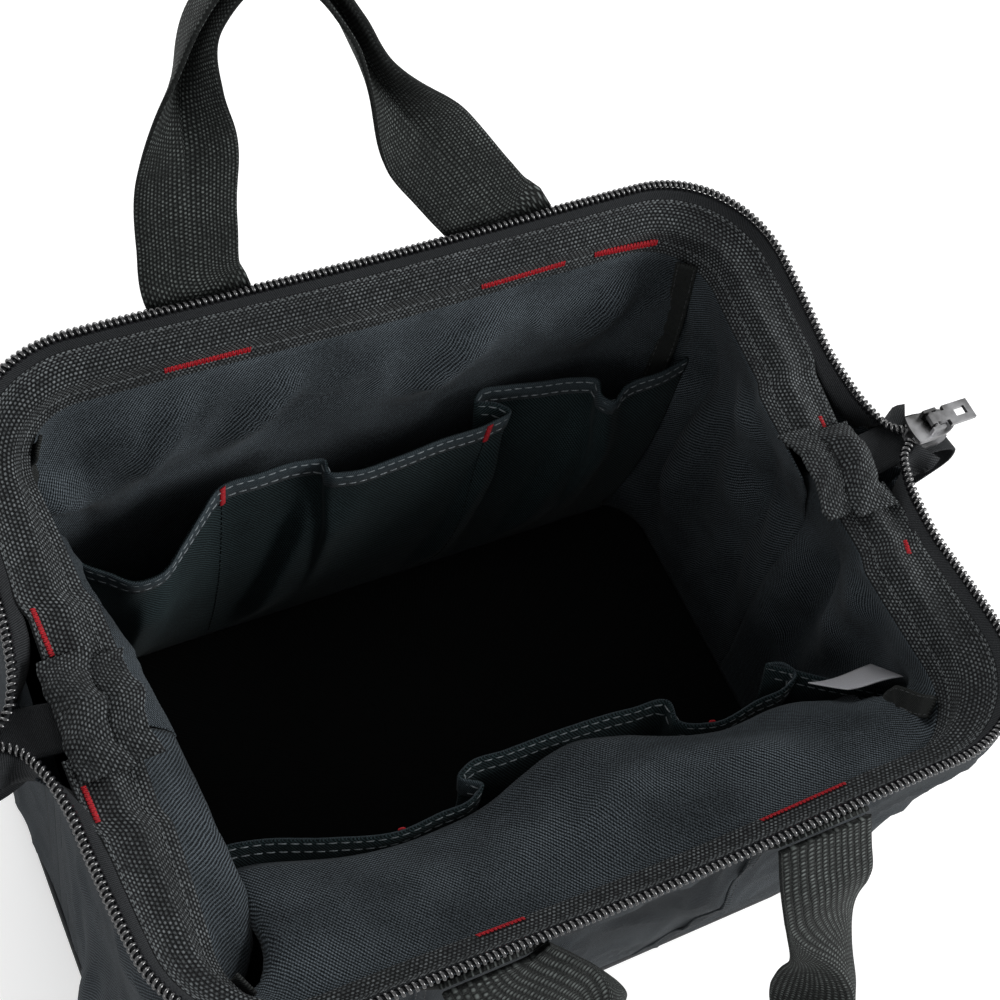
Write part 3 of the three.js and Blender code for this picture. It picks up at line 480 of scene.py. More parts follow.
def twill(name, dark, light, pitch, strength=0.35, rough=0.8, sheen=0.03, even=0.5):
    """Cloth with a fine diagonal weave, whose lines come and go in soft, cloudy patches."""
    paint = Paint(name, dark, rough, sheen=sheen, gloss=0.12)
    u, v = paint.cloth_axes()
    drift = paint.noise(70.0) * 2.2
    line = ((u + drift + v * 0.8) * (2 * math.pi / pitch)).calc("SINE")
    cross = ((u - v) * (2 * math.pi / (pitch * 0.8))).calc("SINE")
    height = line * 0.6 + cross * 0.3
    fibre = paint.noise(1700.0)
    cloud = paint.noise(26.0, 4.0).ramp(0.35, 0.7, even, 1.0)
    tone = height.ramp(-0.1, 0.85) * cloud + fibre.ramp(0.45, 0.8, 0.0, 0.35)
    return paint.finish(tone, dark, light, height + fibre, strength, 0.0003)


def thread(name, dark, light):
    paint = Paint(name, dark, 0.6, sheen=0.05, gloss=0.25)
    grain = paint.noise(1500.0)
    return paint.finish(grain.ramp(0.35, 0.7), dark, light, grain, 0.3, 0.0002)


def metal(name, dark, light, rough):
    paint = Paint(name, light, rough, metal=1.0)
    worn = paint.noise(90.0, 4.0)
    plug(paint.shader, {"Roughness": worn.ramp(0.3, 0.7, rough * 0.8, rough * 1.4)})
    return paint.finish(worn.ramp(0.35, 0.65), dark, light, paint.noise(900.0), 0.12, 0.0002)


def nylon(name, dark, light, rough):
    paint = Paint(name, dark, rough, gloss=0.9)
    grain = paint.noise(400.0, 3.0)
    plug(paint.shader, {"Roughness": grain.ramp(0.3, 0.7, rough * 0.8, rough * 1.3)})
    return paint.finish(grain.ramp(0.35, 0.7), dark, light, grain, 0.1, 0.0002)


M_CLOTH = twill("outer_cloth", (0.006, 0.008, 0.010), (0.070, 0.084, 0.096), 1.3, strength=0.4, even=0.6)
M_LINING = twill("lining_cloth", (0.001, 0.0022, 0.003), (0.165, 0.196, 0.222), 1.45, rough=0.86, even=0.35)
# The pocket cloth is darker than the lining: partly its own tone, partly painted shade of the bag's lower
# inside.
M_POCKET = twill("pocket_cloth", (0.001, 0.0030, 0.0035), (0.046, 0.074, 0.081), 1.45, rough=0.86)
M_HEM = twill("hem_cloth", (0.006, 0.011, 0.014), (0.095, 0.120, 0.135), 0.9, even=0.8)
# Band and strap webbing: the light colour is painted highlight on the crest of each woven end.
M_BAND = webbing("band_webbing", (0.002, 0.0025, 0.003), (0.205, 0.224, 0.232), 1.7, 1.25, highlight_start=0.40)
M_STRAP = webbing("strap_webbing", (0.002, 0.0028, 0.0026), (0.150, 0.168, 0.162), 1.75, 1.35, highlight_start=0.50)
M_TAPE = twill("zip_tape_cloth", (0.007, 0.008, 0.009), (0.048, 0.051, 0.055), 0.8, rough=0.75, even=0.7)
M_BINDING = twill("binding_cloth", (0.003, 0.0035, 0.0035), (0.046, 0.050, 0.048), 0.9, even=0.6)
M_COIL = nylon("coil_nylon", (0.003, 0.003, 0.004), (0.020, 0.020, 0.022), 0.13)
M_GREY = thread("grey_thread", (0.12, 0.14, 0.15), (0.30, 0.33, 0.35))
M_DIM = thread("dark_thread", (0.020, 0.021, 0.022), (0.080, 0.085, 0.088))
M_PALE = thread("pale_thread", (0.050, 0.055, 0.057), (0.190, 0.205, 0.212))
M_RED = thread("red_thread", (0.22, 0.003, 0.008), (0.50, 0.010, 0.020))
M_STEEL = metal("wire_steel", (0.20, 0.21, 0.22), (0.42, 0.43, 0.45), 0.28)
M_ZIP = metal("zip_metal", (0.10, 0.10, 0.10), (0.36, 0.36, 0.37), 0.3)
# The board's cloth is nearly black: painted shade of the bag's deep bottom.
M_BOARD_SHADE = twill("board_cloth_painted_shade", (0.0008, 0.001, 0.001), (0.006, 0.007, 0.007), 1.3, rough=0.9, sheen=0.0)
M_TAG = twill("tag_satin", (0.50, 0.50, 0.53), (0.72, 0.72, 0.76), 0.5, strength=0.15, rough=0.5)


# Bodies


def soft(piece, half, slot, *nodes):
    """Fabric, left where it is built: its mesh takes its transform, and the CAD nodes it stands for are
    hidden.
    """
    if nodes:
        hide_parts(*nodes)
    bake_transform(piece)


def on(piece, body, slot, *nodes):
    """A piece that rides on one body."""
    if nodes:
        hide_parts(*nodes)
    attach(piece, body)


# Camera

# Degrees and millimetres
AZIMUTH, ELEVATION, ROLL = -41.94, 57.6, 19.6
TARGET, DISTANCE = Vector((1.3, 13.1, 235.0)), 640.5
LENS, SENSOR = 65.8, 36.0


def rotation(angle, axis):
    return Matrix.Rotation(math.radians(angle), 4, axis)


def camera():
    data = bpy.data.cameras.new("camera")
    data.lens, data.sensor_width = LENS, SENSOR
    data.clip_start, data.clip_end = 0.01, 50
    obj = new_object("camera", data)
    turn = rotation(AZIMUTH, "Z") @ rotation(90 - ELEVATION, "X") @ rotation(ROLL, "Z")
    turn.translation = (TARGET + turn.col[2].xyz * DISTANCE) * MM
    obj.matrix_world = turn
    bpy.context.scene.camera = obj


camera()


# The zip's line, from the right tail round the mouth to the left tail

# The tails' points: share of the way out, share of the way up, and the tape's direction
TAIL = [(1, 1, (0, 1, 0)), (0.8, 0.95, (0, 0.93, -0.36)), (0.55, 0.7, (-0.2, 0.2, -0.96)),
        (0.25, 0.3, (-0.8, 0, -0.6))]
TAIL_STRETCH = (6, 46)


def zip_tail(half, side, leave):
    share, lift, way = (np.array(column, float) for column in zip(*TAIL))
    x = mix(leave[0], side * TAIL_X, share ** 2)
    y = mix(leave[1], SIGN[half] * (COIL / 2 + GAP), 1 - (1 - share) ** 1.6)
    return np.stack([x, y, mix(leave[2], TAIL_Z, lift)], 1), way * [side, SIGN[half], 1]


def zip_line(half):
    """The zip's middle in steps of a millimetre, the tape's direction from it, and its face."""
    rows = stations(half)
    centre = place(half, rows, COIL_FACE, COIL_OUT)
    tape = place(half, rows, COIL_FACE, COIL_OUT - 1) - centre
    a, da = zip_tail(half, 1, centre[0])
    b, db = zip_tail(half, -1, centre[-1])
    keys = np.concatenate([a, centre, b[::-1]])
    s = arclength(keys)
    at = np.linspace(0, s[-1], round(s[-1]) + 1)
    line = hermite(s, keys, at)
    way = unit(sample(at, s, np.concatenate([da, tape, db[::-1]])))
    t = tangents(line)
    way = unit(way - t * (way * t).sum(1, keepdims=True))
    return line, way, unit(np.cross(t, way))


def from_ends(line):
    """How many points each one is from the nearer end."""
    order = np.arange(len(line))
    return np.minimum(order, order[::-1])


ZIP = {half: zip_line(half) for half in HALVES}
COIL_STEPS = 12
COIL_WIDE, COIL_DEEP = COIL / 2 - 0.8, COIL / 2 - 0.95
# The radii of the coil's strand and of the cord inside it
STRAND, CORE = 0.72, 0.8
TAPE_SHAPE = [(0.0, 0.0), (0.15, 0.55), (0.3, 0.62), (0.45, 0.42), (0.7, 0.42), (1.0, 0.42), (1.0, -0.42),
              (0.5, -0.42), (0.15, -0.5)]
TAPE_THICK = 1.2


def build_zip(half):
    line, way, face = ZIP[half]
    body = half + "_frame"
    # The coil: one thin nylon strand wound along the edge of the tape
    s = arclength(line)
    at = np.linspace(0, s[-1], int(s[-1] / COIL_PITCH) * COIL_STEPS + 1)
    centre, w, f = sample(at, s, line), unit(sample(at, s, way)), unit(sample(at, s, face))
    turn = np.arange(len(at))[:, None] / COIL_STEPS * 2 * math.pi
    squared = lambda x: np.sign(x) * np.abs(x) ** 0.75
    helix = centre + w * squared(np.cos(turn)) * COIL_WIDE + f * squared(np.sin(turn)) * COIL_DEEP
    t = tangents(helix)
    a = unit(np.cross(t, f))
    rings = sweep(helix, a, np.cross(t, a), round_section(6, STRAND))
    on(tube(half + "_coil_teeth", rings, M_COIL, at, np.arange(6) * 0.5), body, "coil", half + "_zip_coil")
    cord = sweep(centre[::6], w[::6], f[::6], round_section(8, CORE))
    on(tube(half + "_coil_core", cord, M_TAPE), body, "zip_cloth")
    # The tape: a woven strip, with a raised sewn line beside the coil
    tail = from_ends(line) * (s[-1] / (len(line) - 1))
    reach = (TAPE_THICK + mix(11.0, TAPE_REACH + 2.2, smooth(tail, *TAIL_STRETCH)))[:, None]
    rings = np.stack([line + way * (1.0 + reach * a) + face * b * TAPE_THICK for a, b in TAPE_SHAPE], 1)
    tape = tube(half + "_tape", rings[::2], M_TAPE, s[::2], [a * 5 for a, _ in TAPE_SHAPE])
    on(tape, body, "zip_cloth", half + "_zip_tape")


# The band round the wire

# Its red tacks run between these x, at this height on its face
BAND_TACKS = {"back": (-7.6, [(-84, -49), (48, 85), (99, 128)]), "front": (1.2, [(48, 82), (-62, -45)])}


def band_face(q):
    """How far out the band's inner face lies, with the wire's round back under it."""
    return BAND_FACE - 3.9 * math.exp(-(q / 4.4) ** 2)


def band_shape():
    """The band's section, from its upper edge round the wire's channel and back up its inner face."""
    edge, channel = BAND_WIDTH / 2, WIRE / 2 + GAP
    lip = math.acos(WIRE / 2 / channel)
    turns = np.linspace(lip, 2 * math.pi - lip, 9)
    shape = [(WIRE / 2, edge), *((channel * math.cos(t), channel * math.sin(t)) for t in turns)]
    shape += [(WIRE / 2, -edge), (BAND_FACE + 0.5, -edge - 0.25)]
    shape += [(BAND_FACE, q) for q in (-edge + 0.2, -9.5, -7)]
    shape += [(band_face(q), q) for q in np.linspace(-6.3, 6.3, 13)]
    return shape + [(BAND_FACE, q) for q in (7, 9.5, edge - 0.2)] + [(BAND_FACE + 0.5, edge + 0.25)]


def bar_station(rows, x):
    """The station of the bar that is nearest to x."""
    return rows[np.argmin(np.abs(rows[:, 0] - x) + 1e3 * (rows[:, 3] < 0.5))][None]


def build_band(half):
    body = half + "_frame"
    rows = stations(half, start=BAND_END, step=1.5)
    shape = band_shape()
    rings = np.stack([place(half, rows, p, q) for p, q in shape], 1)
    along = arclength(place(half, rows, 0, 0))
    band = tube(half + "_band_webbing", rings, M_BAND, along, [q for _, q in shape])
    on(band, body, "webbing", half + "_band")
    for q, name in ((11.2, "top"), (-7.4, "low")):
        line = place(half, rows, band_face(q), q)
        up = place(half, rows, band_face(q) - 1, q) - line
        on(stitch_row(f"{half}_band_{name}_stitches", line, up, M_PALE, "webbing"), body, "webbing")
    q, tacks = BAND_TACKS[half]
    for i, ends in enumerate(tacks):
        start, end = (place(half, bar_station(rows, x), band_face(q), q)[0] for x in ends)
        middle = bar_station(rows, sum(ends) / 2)
        up = (place(half, middle, BAND_FACE - 1, q) - place(half, middle, BAND_FACE, q))[0]
        on(bar_tack(f"{half}_band_tack_{i}", start, end, up, "band"), body, "webbing")


# The cloth body

OUTER_LOW, OUTER_HIGH = 1.2, SEAM_HEIGHT - 8
LINING_INSET, LINING_LOW, LINING_HIGH = 4.5, 6.5, 140.0
SHELL_LOWER, SHELL_UPPER = 34, 12
WALL_SEAMS = (-77.0, 55.0)
SEAM_COLUMN = 20
# How high the folds stand, and the noise they are drawn from
OUTER_FOLDS = {"front": (3.2, 3.1), "back": (3.2, 8.4)}
LINING_FOLDS = {"front": (2.0, 5.7), "back": (3.4, 1.3)}


def outline(z, x, y, inset):
    """Where the plan direction (x, y) meets the body's outline at a height."""
    share = (z - WALL) / (SEAM_HEIGHT - WALL)
    depth, corner = BASE_DEPTH / 2 + SEAM_FLARE * share, mix(BASE_CORNER, TOP_CORNER, share)
    belly = WALL_BELLY * math.sin(math.pi * min(max(share, 0), 1)) ** 2
    return corner_point(BASE_LENGTH / 2 - inset, depth - inset, corner, x, y, belly)


def corner_point(half_x, half_y, corner, dx, dy, belly=0.0):
    """Where a ray from the middle meets a rounded rectangle; dy is never negative."""
    side = 1 if dx >= 0 else -1
    dx = abs(dx)
    t = min(half_x / max(dx, 1e-9), half_y / max(dy, 1e-9))
    px, py = dx * t, dy * t
    if px > half_x - corner and py > half_y - corner:
        cx, cy = half_x - corner, half_y - corner
        b = dx * cx + dy * cy
        a, c = dx * dx + dy * dy, cx * cx + cy * cy - corner * corner
        t = (b + math.sqrt(max(b * b - a * c, 0))) / a
        px, py = dx * t, dy * t
    grow = belly * max(0.0, 1 - (px / (half_x - corner)) ** 2) if py > half_y - corner - 1 else 0
    return side * px, py + grow


def shell_grid(half, rim, inset, low, high):
    """The cloth from the base to the rim: a grid of columns, one for each point of the rim."""
    heights = np.linspace(low, high, SHELL_LOWER)
    grid, uv = [], []
    for s, top in zip(arclength(rim), rim):
        dy = abs(top[1]) * (BASE_DEPTH / 2) / (BASE_DEPTH / 2 + 6)
        plan = [outline(z, top[0], dy, inset) for z in heights]
        wall = np.array([(x, SIGN[half] * y, z) for (x, y), z in zip(plan, heights)])
        span = np.linalg.norm(top - wall[-1])
        slopes = unit(wall[-1] - wall[-4]) * span, unit(top - wall[-1]) * span
        t = np.linspace(0, 1, SHELL_UPPER + 1)[1:, None]
        column = np.concatenate([wall, cubic(t, wall[-1], slopes[0], top, slopes[1])])
        grid.append(column)
        uv.append(np.stack([np.full(len(column), s), arclength(column)], 1))
    return np.array(grid), np.array(uv)


# Single folds in the cloth, by piece: from, to, width and height
CREASES = {
    "lining": [((153, 6, 84), (153, 44, 132), 9, 6), ((153, -14, 108), (153, 26, 152), 10, 10),
               ((153, -50, 60), (153, 10, 92), 8, 6), ((153, 62, 30), (153, 84, 160), 9, 6),
               ((153, -26, 176), (153, -44, 120), 7, 5), ((-58, 112, 156), (-26, 112, 190), 7.5, 10),
               ((-98, 112, 154), (-72, 112, 196), 8, 9), ((24, 112, 156), (62, 112, 194), 8.5, 9),
               ((98, 112, 158), (122, 112, 192), 8, 9), ((-148, 112, 172), (-112, 112, 146), 8, 10),
               ((-20, -100, 186), (40, -70, 158), 9, 4), ((100, -110, 190), (60, -70, 150), 12, 4)],
    "outer": [((-165, -40, 60), (-165, -100, 150), 12, 5), ((-165, -96, 30), (-165, -50, 120), 10, 6),
              ((-60, -117, 60), (-20, -119, 165), 12, 6), ((20, -119, 170), (70, -117, 90), 12, 5),
              ((90, -118, 160), (140, -112, 60), 12, 6), ((165, -70, 60), (165, -20, 160), 12, 5),
              ((-120, 117, 60), (-40, 119, 160), 14, 5), ((30, 117, 50), (90, 118, 160), 13, 6)],
}


def soft_folds(point, seed):
    """How far the cloth stands off at a point: a slow swell and narrower ridges."""
    x, y, z = point
    ridge = max(0.0, 1 - abs(noise.noise(Vector((x * 0.036, y * 0.036 + seed, z * 0.026)))) * 2.2)
    return 0.45 + noise.noise(Vector((x * 0.013 + seed, y * 0.013, z * 0.014))) + 0.6 * ridge ** 3


def fold(grid, height, seed, creases, inward, calm=1.0):
    """Soft folds and single creases: the grid moves along its normals, away from the sheet beside it."""
    out = facing(normals(grid), level(grid) * (-1 if inward else 1))
    push = np.array([[soft_folds(point, seed) for point in column] for column in grid]) * height * calm
    for start, end, width, rise in creases:
        run = np.subtract(end, start)
        t = np.clip(((grid - start) @ run) / (run @ run), 0, 1)
        gap = np.linalg.norm(grid - start - t[..., None] * run, axis=-1)
        push += rise * np.exp(-(gap / width) ** 2) * np.sin(np.pi * (0.12 + 0.76 * t))
    v = np.linspace(0, 1, grid.shape[1])
    kept = smooth(v, 0, 0.1) * (1 - smooth(v, 0.88, 1)) * smooth(np.abs(grid[..., 1]), 0, 30)
    return grid + out * (np.maximum(push, 0) * kept)[..., None]


def to_middle(line, start, end):
    """The line in even steps, carried on at both its ends to the points given."""
    t = np.linspace(0, 1, 7)[:, None]
    return np.concatenate([mix(start, line[0], t[:-1]), resample(line, 3.0), mix(line[-1], end, t[1:])])


def rim_line(half):
    """The edge of the cloth under the zip tape, tails included."""
    line, way, face = ZIP[half]
    reach = mix(10.5, 3.4, smooth(from_ends(line), *TAIL_STRETCH))
    rim = line + way * reach[:, None] + facing(face, [0, 0, -1]) * 1.4
    ends = [np.array([side * (BASE_LENGTH / 2 + 2), 0, PIVOT - 5]) for side in (1, -1)]
    return to_middle(rim[8:-8], *ends)


def band_line(half):
    """The band's lower edge, carried on to the middle of both arms."""
    line = place(half, stations(half, start=BAND_END), COIL_FACE, -12.3)
    drop = BAND_END * math.sin(SLOPE[half])
    return to_middle(line, *(np.array([x, 0, z - drop]) for x, _, z in (line[0], line[-1])))


def build_outer(half):
    grid, uv = shell_grid(half, rim_line(half), 0.0, OUTER_LOW, OUTER_HIGH)
    grid = fold(grid, *OUTER_FOLDS[half], CREASES["outer"], inward=False)
    shell = sheet(half + "_outer_shell", grid, M_CLOTH, uv, thick=1.1)
    out = normals(grid)
    out = out if (out[..., 1] * SIGN[half]).mean() > 0 else -out
    for i, x in enumerate(WALL_SEAMS):
        k = np.argmin(np.abs(grid[:, SEAM_COLUMN, 0] - x))
        up = out[k, 3:-3]
        line = grid[k, 3:-3] + up * 0.75
        across = unit(np.cross(tangents(line), up))
        name = f"{half}_wall_seam_{i}"
        soft(section_ribbon(name, line, across, up, 5.0, 0.9, M_CLOTH), half, "cloth")
        for edge, mark in ((-1.8, "left"), (1.8, "right")):
            row = line + across * edge + up * 0.5
            soft(stitch_row(f"{name}_{mark}", row, up, M_DIM, "wall"), half, "cloth")
    walls = [f"{part}_wall" for part in (half + "_lower", half + "_mouth", "right_end", "left_end")]
    soft(shell, half, "cloth", *walls)


# The hem of each pocket row in plan at its height, from left to right, with its pleats
HEM_HEIGHT = {"back": 145.0, "front": 141.0}
HEM = {
    "back": [(-150, 96), (-140, 94), (-132, 89), (-126, 82), (-119, 76), (-111, 69), (-101, 69), (-88, 79),
             (-77, 89), (-66, 98), (-49, 99), (-30, 99), (-21, 96), (-22, 91), (-14, 88), (6, 88), (28, 90),
             (52, 91), (62, 94), (58, 99), (50, 103), (54, 107), (66, 106), (81, 103), (97, 100), (106, 96),
             (104, 88), (107, 84), (116, 89), (137, 91), (150, 94)],
    "front": [(-152, -50), (-136, -44), (-116, -41), (-105, -43), (-80, -52), (-54, -59), (-38, -58),
              (-24, -57), (-18, -53), (-25, -47), (-20, -44), (-4, -44), (20, -44), (50, -46), (66, -49),
              (65, -56), (78, -63), (102, -61), (115, -60), (122, -56), (119, -50), (112, -48), (119, -53),
              (130, -61), (142, -69), (154, -77)],
}
# Folds that run down the pockets from the hem's pleats: where each starts, how far it leans and stands in
POCKET_FOLDS = {"back": [(-21, 32, 7.0), (58, 24, 6.0), (107, 24, 7.0), (-104, 14, 5.0)],
                "front": [(-22, 20, 5.0), (66, 18, 5.0), (118, 16, 5.0)]}
TACK_AT = {"back": (-65, 51), "front": (-54, 78)}
POCKET_ROWS = 34
POCKET_NODES = ("left_pocket", "middle_pocket", "right_pocket")
# The room that stays between the lining and the pockets
LINING_CLEAR = {"front": 2.5, "back": 26}
# How far the left end's lining hangs in from the end wall, by y, and at which height it hangs in most
LEFT_SLUMP = [(-113, 0), (-104, 10), (-92, 27), (-81, 36), (-63, 41), (-44, 40), (-16, 39), (3, 38),
              (25, 34), (50, 31), (87, 24), (100, 8), (108, 0)]
LEFT_HEIGHT = 152
# How far the lining hangs in at the corners, by height
CORNER_HANG = [(8, 0), (55, 4), (95, 7), (128, 10), (155, 9), (178, 4), (196, 0)]
CORNER_TURN = math.radians(37)
LINING = {}


def hem_line(half):
    """The hem's path, finely drawn."""
    keys = np.array([(x, y, HEM_HEIGHT[half]) for x, y in HEM[half]], float)
    return curve(keys, round(arclength(keys)[-1] / 1.5) + 1)


def running_mean(values, width):
    return np.convolve(np.pad(values, width // 2, mode="edge"), np.ones(width) / width, "valid")


def slump(half, x):
    """How far the lining hangs in behind the pockets, at the hem's height."""
    span = np.arange(-170.0, 171.0, 2.0)
    y = np.abs(np.interp(span, *zip(*sorted(HEM[half]))))
    far = running_mean(np.array([y[max(i - 6, 0):i + 7].max() for i in range(len(y))]), 19)
    wall = BASE_DEPTH / 2 + SEAM_FLARE * 0.77 - 5
    room = np.maximum(wall - far - LINING_CLEAR[half], 0)
    return np.interp(x, span, room) * (1 - smooth(x, 145, 162)) * (1 - smooth(-x, 116, 152))


def corner_turn(grid):
    """Where each column of the lining stands round the mouth."""
    return np.arctan2(np.abs(grid[:, -1, 1]), np.abs(grid[:, -1, 0]))


def build_lining(half):
    grid, uv = shell_grid(half, band_line(half), LINING_INSET, LINING_LOW, LINING_HIGH)
    # These are views, so what moves them moves the grid
    x, y, z = np.moveaxis(grid, -1, 0)
    hem = HEM_HEIGHT[half]
    below = smooth(z, -40, hem) * np.clip((z - LINING_LOW) / (hem - LINING_LOW), 0, 1)
    above = 1 - np.clip((z - hem) / (z[:, -1:] - 1 - hem), 0, 1) ** 1.1
    y -= SIGN[half] * slump(half, x) * np.where(z < hem, below, above)
    # The end walls: soft folds that run down from the arms, and the left one's deep slump
    end = smooth(np.abs(x), 140, 150) * (1 - smooth(np.abs(y), 92, 108))
    wave = np.sin(np.abs(y) * 0.105 + z * 0.012 + 0.7) + 0.5 * np.sin(np.abs(y) * 0.21 - z * 0.02 + 2.0)
    right = end * smooth(z, 8, 120) * (1 - smooth(z, 165, 196)) * (4.5 + 4.6 * wave)
    lower = np.clip((z - LINING_LOW) / (LEFT_HEIGHT - LINING_LOW), 0, 1) ** 1.25
    hang = np.where(z < LEFT_HEIGHT, lower, 1 - smooth(z, LEFT_HEIGHT, 194))
    left = np.interp(y, *zip(*LEFT_SLUMP)) * hang
    x -= np.sign(x) * smooth(np.abs(x), 120, 146) * np.where(x > 0, right, left)
    # Folds, which stay off the pockets
    clear = smooth(z, hem - 4, hem + 18) if half == "back" else smooth(np.abs(z - hem), 2, 24)
    calm = np.where(np.abs(x) > 140, 1, clear)
    grid = fold(grid, *LINING_FOLDS[half], CREASES["lining"], inward=True, calm=calm)
    # The corners hang in under the band, all but the front left one
    corner = np.exp(-((corner_turn(grid) - CORNER_TURN) / 0.11) ** 2)[:, None]
    corner = corner * (x >= 0) if half == "front" else corner
    grid = grid - level(grid) * (corner * np.interp(z, *zip(*CORNER_HANG)))[..., None]
    LINING[half] = grid
    nodes = ["front_lining"] if half == "front" else []
    soft(sheet(half + "_inner_shell", grid, M_LINING, uv, thick=0.8), half, "lining", *nodes)


def pocket_folds(half, x, t):
    """How far the pockets' cloth stands in, steep on one side of each fold and gentle on the other."""
    push = np.zeros(len(x))
    for start, lean, height in POCKET_FOLDS[half]:
        gap = x - start + lean * (1 - t)
        push += height * np.exp(-(gap / np.where(gap < 0, 3.5, 18.0)) ** 2)
    return push * smooth(1 - t, 0.08, 0.3) * smooth(t, 0, 0.3)


def build_pockets(half):
    sign = SIGN[half]
    hem = hem_line(half)
    s = arclength(hem)
    plain = np.stack([running_mean(column, 41) for column in hem.T], 1)
    foot = mix(np.linspace(-150, 150, len(hem)), plain[:, 0], 0.6)
    foot = np.stack([foot, np.full(len(hem), sign * 100.5), np.full(len(hem), 7.0)], 1)
    rows = np.linspace(0, 1, POCKET_ROWS)
    grid = []
    for t in rows:
        line = mix(foot, plain, t) + (hem - plain) * t ** 1.15
        line[:, 1] -= sign * (6.0 * math.sin(math.pi * t) + pocket_folds(half, line[:, 0], t))
        grid.append(line)
    grid = np.array(grid).transpose(1, 0, 2)
    piece = sheet(half + "_pockets", grid, M_POCKET, uv_grid(s, rows * 140), thick=1.0)
    soft(piece, half, "lining", *(f"{half}_{node}" for node in POCKET_NODES))
    # The turned hem, its two rows of stitches, the seams between the pockets and their bar tacks
    inside = normals(grid)
    inside = -inside if (inside[..., 1] * -sign).mean() < 0 else inside
    top, face = grid[:, -1], inside[:, -2]
    drop = unit(grid[:, -3] - top)
    turned = sweep(top, drop, face, [(-0.6, 0.2), (0.2, 1.0), (9.0, 1.0), (9.4, 0.3)])
    soft(tube(half + "_pocket_hem", turned, M_HEM, s, [0, 1, 9, 10]), half, "lining")
    for name, at in (("upper", 1.8), ("lower", 7.0)):
        for back, lift in (("", 1.05), ("_back", -0.55)):
            line, up = top + drop * at + face * lift, face * np.sign(lift)
            stitches = stitch_row(f"{half}_hem_{name}{back}_stitches", line, up, M_GREY, "hem", share=0.8)
            soft(stitches, half, "lining")
    for i, x in enumerate(TACK_AT[half]):
        k = np.argmin(np.abs(hem[:, 0] - x))
        up = inside[k, ::-1]
        line = grid[k, ::-1] + up * 0.75
        seam = stitch_row(f"{half}_pocket_seam_{i}", line[2:-2], up[2:-2], M_POCKET, "pocket")
        soft(seam, half, "lining")
        start, end = (top[k] + drop[k] * at + face[k] * 1.4 for at in (-0.4, 10.5))
        soft(bar_tack(f"{half}_pocket_tack_{i}", start, end, face[k], "pocket"), half, "lining")


# Width and thickness of the seams' binding
BINDING = (9.0, 1.4)


def build_corner_tapes(half):
    """A binding tape down each corner seam of the lining, gathered in small folds."""
    grid, sign = LINING[half], SIGN[half]
    middle = np.array([0, 0, 120.0])
    for name, side in SIDES.items():
        away_from = np.abs(corner_turn(grid) - CORNER_TURN) + 9.0 * (grid[:, -1, 0] * side < 0)
        column = grid[np.argmin(away_from)][::-1]
        inward = level(middle - column)
        start = column[0] + inward[0] * 2.2 + [0, 0, 2.0]
        line = curve([start, *(column + inward * 1.3)[2::3]], 110, cut=3)
        u = arclength(line)
        away = level(middle - line)
        line = line + away * (0.7 + 0.7 * np.sin(u * 0.47) * np.sin(u * 0.17 + side + sign))[:, None]
        t = tangents(line)
        across = unit(np.cross(t, away) + away * (0.22 * np.sin(u * 0.09 + sign))[:, None])
        face = facing(unit(np.cross(across, t)), away)
        tape = section_ribbon(f"{half}_{name}_seam_binding", line, across, face, *BINDING, M_BINDING)
        soft(tape, half, "webbing", f"{half}_{name}_seam_tape")
        for edge, mark in ((-3.4, "inner"), (3.4, "outer")):
            row = line + across * edge + face * 0.7
            stitches = stitch_row(f"{half}_{name}_binding_{mark}_stitches", row, face, M_DIM, "webbing")
            soft(stitches, half, "webbing")


# The hinges and the zip's tails

# By side and half: how far the hinge's cover and strip reach, and where its tack runs and at which height
HINGE_REACH = {"left": {"front": (24.0, 22.0), "back": (21.0, 18.0)},
               "right": {"front": (25.0, 22.0), "back": (14.5, 18.0)}}
TACK_RUN = {"left": {"front": (24, 38, 9.0), "back": (23, 41, 9.0)},
            "right": {"front": (40, 46, 5.7), "back": (15, 21, 5.7)}}
# By kind: where its middle lies, its width, crown and lip
HINGE = {"strip": (140.6, 14.0, 6.0, 1.9), "cover": (154.2, 19.0, 9.6, 3.2)}
HINGE_THICK = 1.5


def hinge_rings(half, side, kind, run):
    """The webbing's rings over one half of the hinge: a crowned top, and the same again below it."""
    middle, wide, crown, lip = HINGE[kind]
    across = np.linspace(-0.5, 0.5, 15)
    arch = np.cos(across * math.pi)
    arch = arch ** 0.8 if kind == "cover" else 0.75 + 0.25 * arch
    rings = []
    for r in run:
        share = max(r, 0) / run[-1]
        pinch = 1 - 0.12 * math.sin(share * math.pi) + 0.03 * math.sin(r * 0.8)
        x = middle + 1.2 * math.sin(r * 0.22 + side) + across * wide * pinch
        z = PIVOT + max(r, 0) * math.sin(SLOPE[half]) + lip + 0.25 * math.sin(r * 1.3)
        z = z + crown * math.cos(share * math.pi / 2) ** 1.2 * arch + 0.3 * np.sin(across * 9 + r * 0.5)
        top = np.stack([side * x, np.full(15, SIGN[half] * r), z], 1)
        rings.append(np.concatenate([top, (top - [0, 0, HINGE_THICK])[::-1]]))
    return np.array(rings), np.concatenate([across, across[::-1]]) * wide


def build_hinge(side, name):
    """Webbing sewn over the hinge as a loop, with a strip beside it, cut where the two halves meet."""
    for half in HALVES:
        covered, stripped = HINGE_REACH[name][half]
        for kind, reach in (("strip", stripped), ("cover", covered)):
            run = np.linspace(-0.4, reach, 28)
            rings, around = hinge_rings(half, side, kind, run)
            nodes = [f"{name}_hinge_{kind}"] if half == "front" else []
            piece = tube(f"{name}_{half}_hinge_{kind}", rings, M_BAND, run, around)
            on(piece, half + "_frame", "webbing", *nodes)
        *ends, q = TACK_RUN[name][half]
        rows = stations(half, start=BAND_END, step=1.0)
        rows = rows[rows[:, 0] * side > 0]
        start, end = (place(half, rows[np.argmin(np.abs(rows[:, 1] - r))][None], band_face(q) - 0.2, q)[0]
                      for r in ends)
        tack = bar_tack(f"{name}_{half}_hinge_tack", start, end, (-side * 0.3, 0, 1), "hinge")
        on(tack, half + "_frame", "webbing")


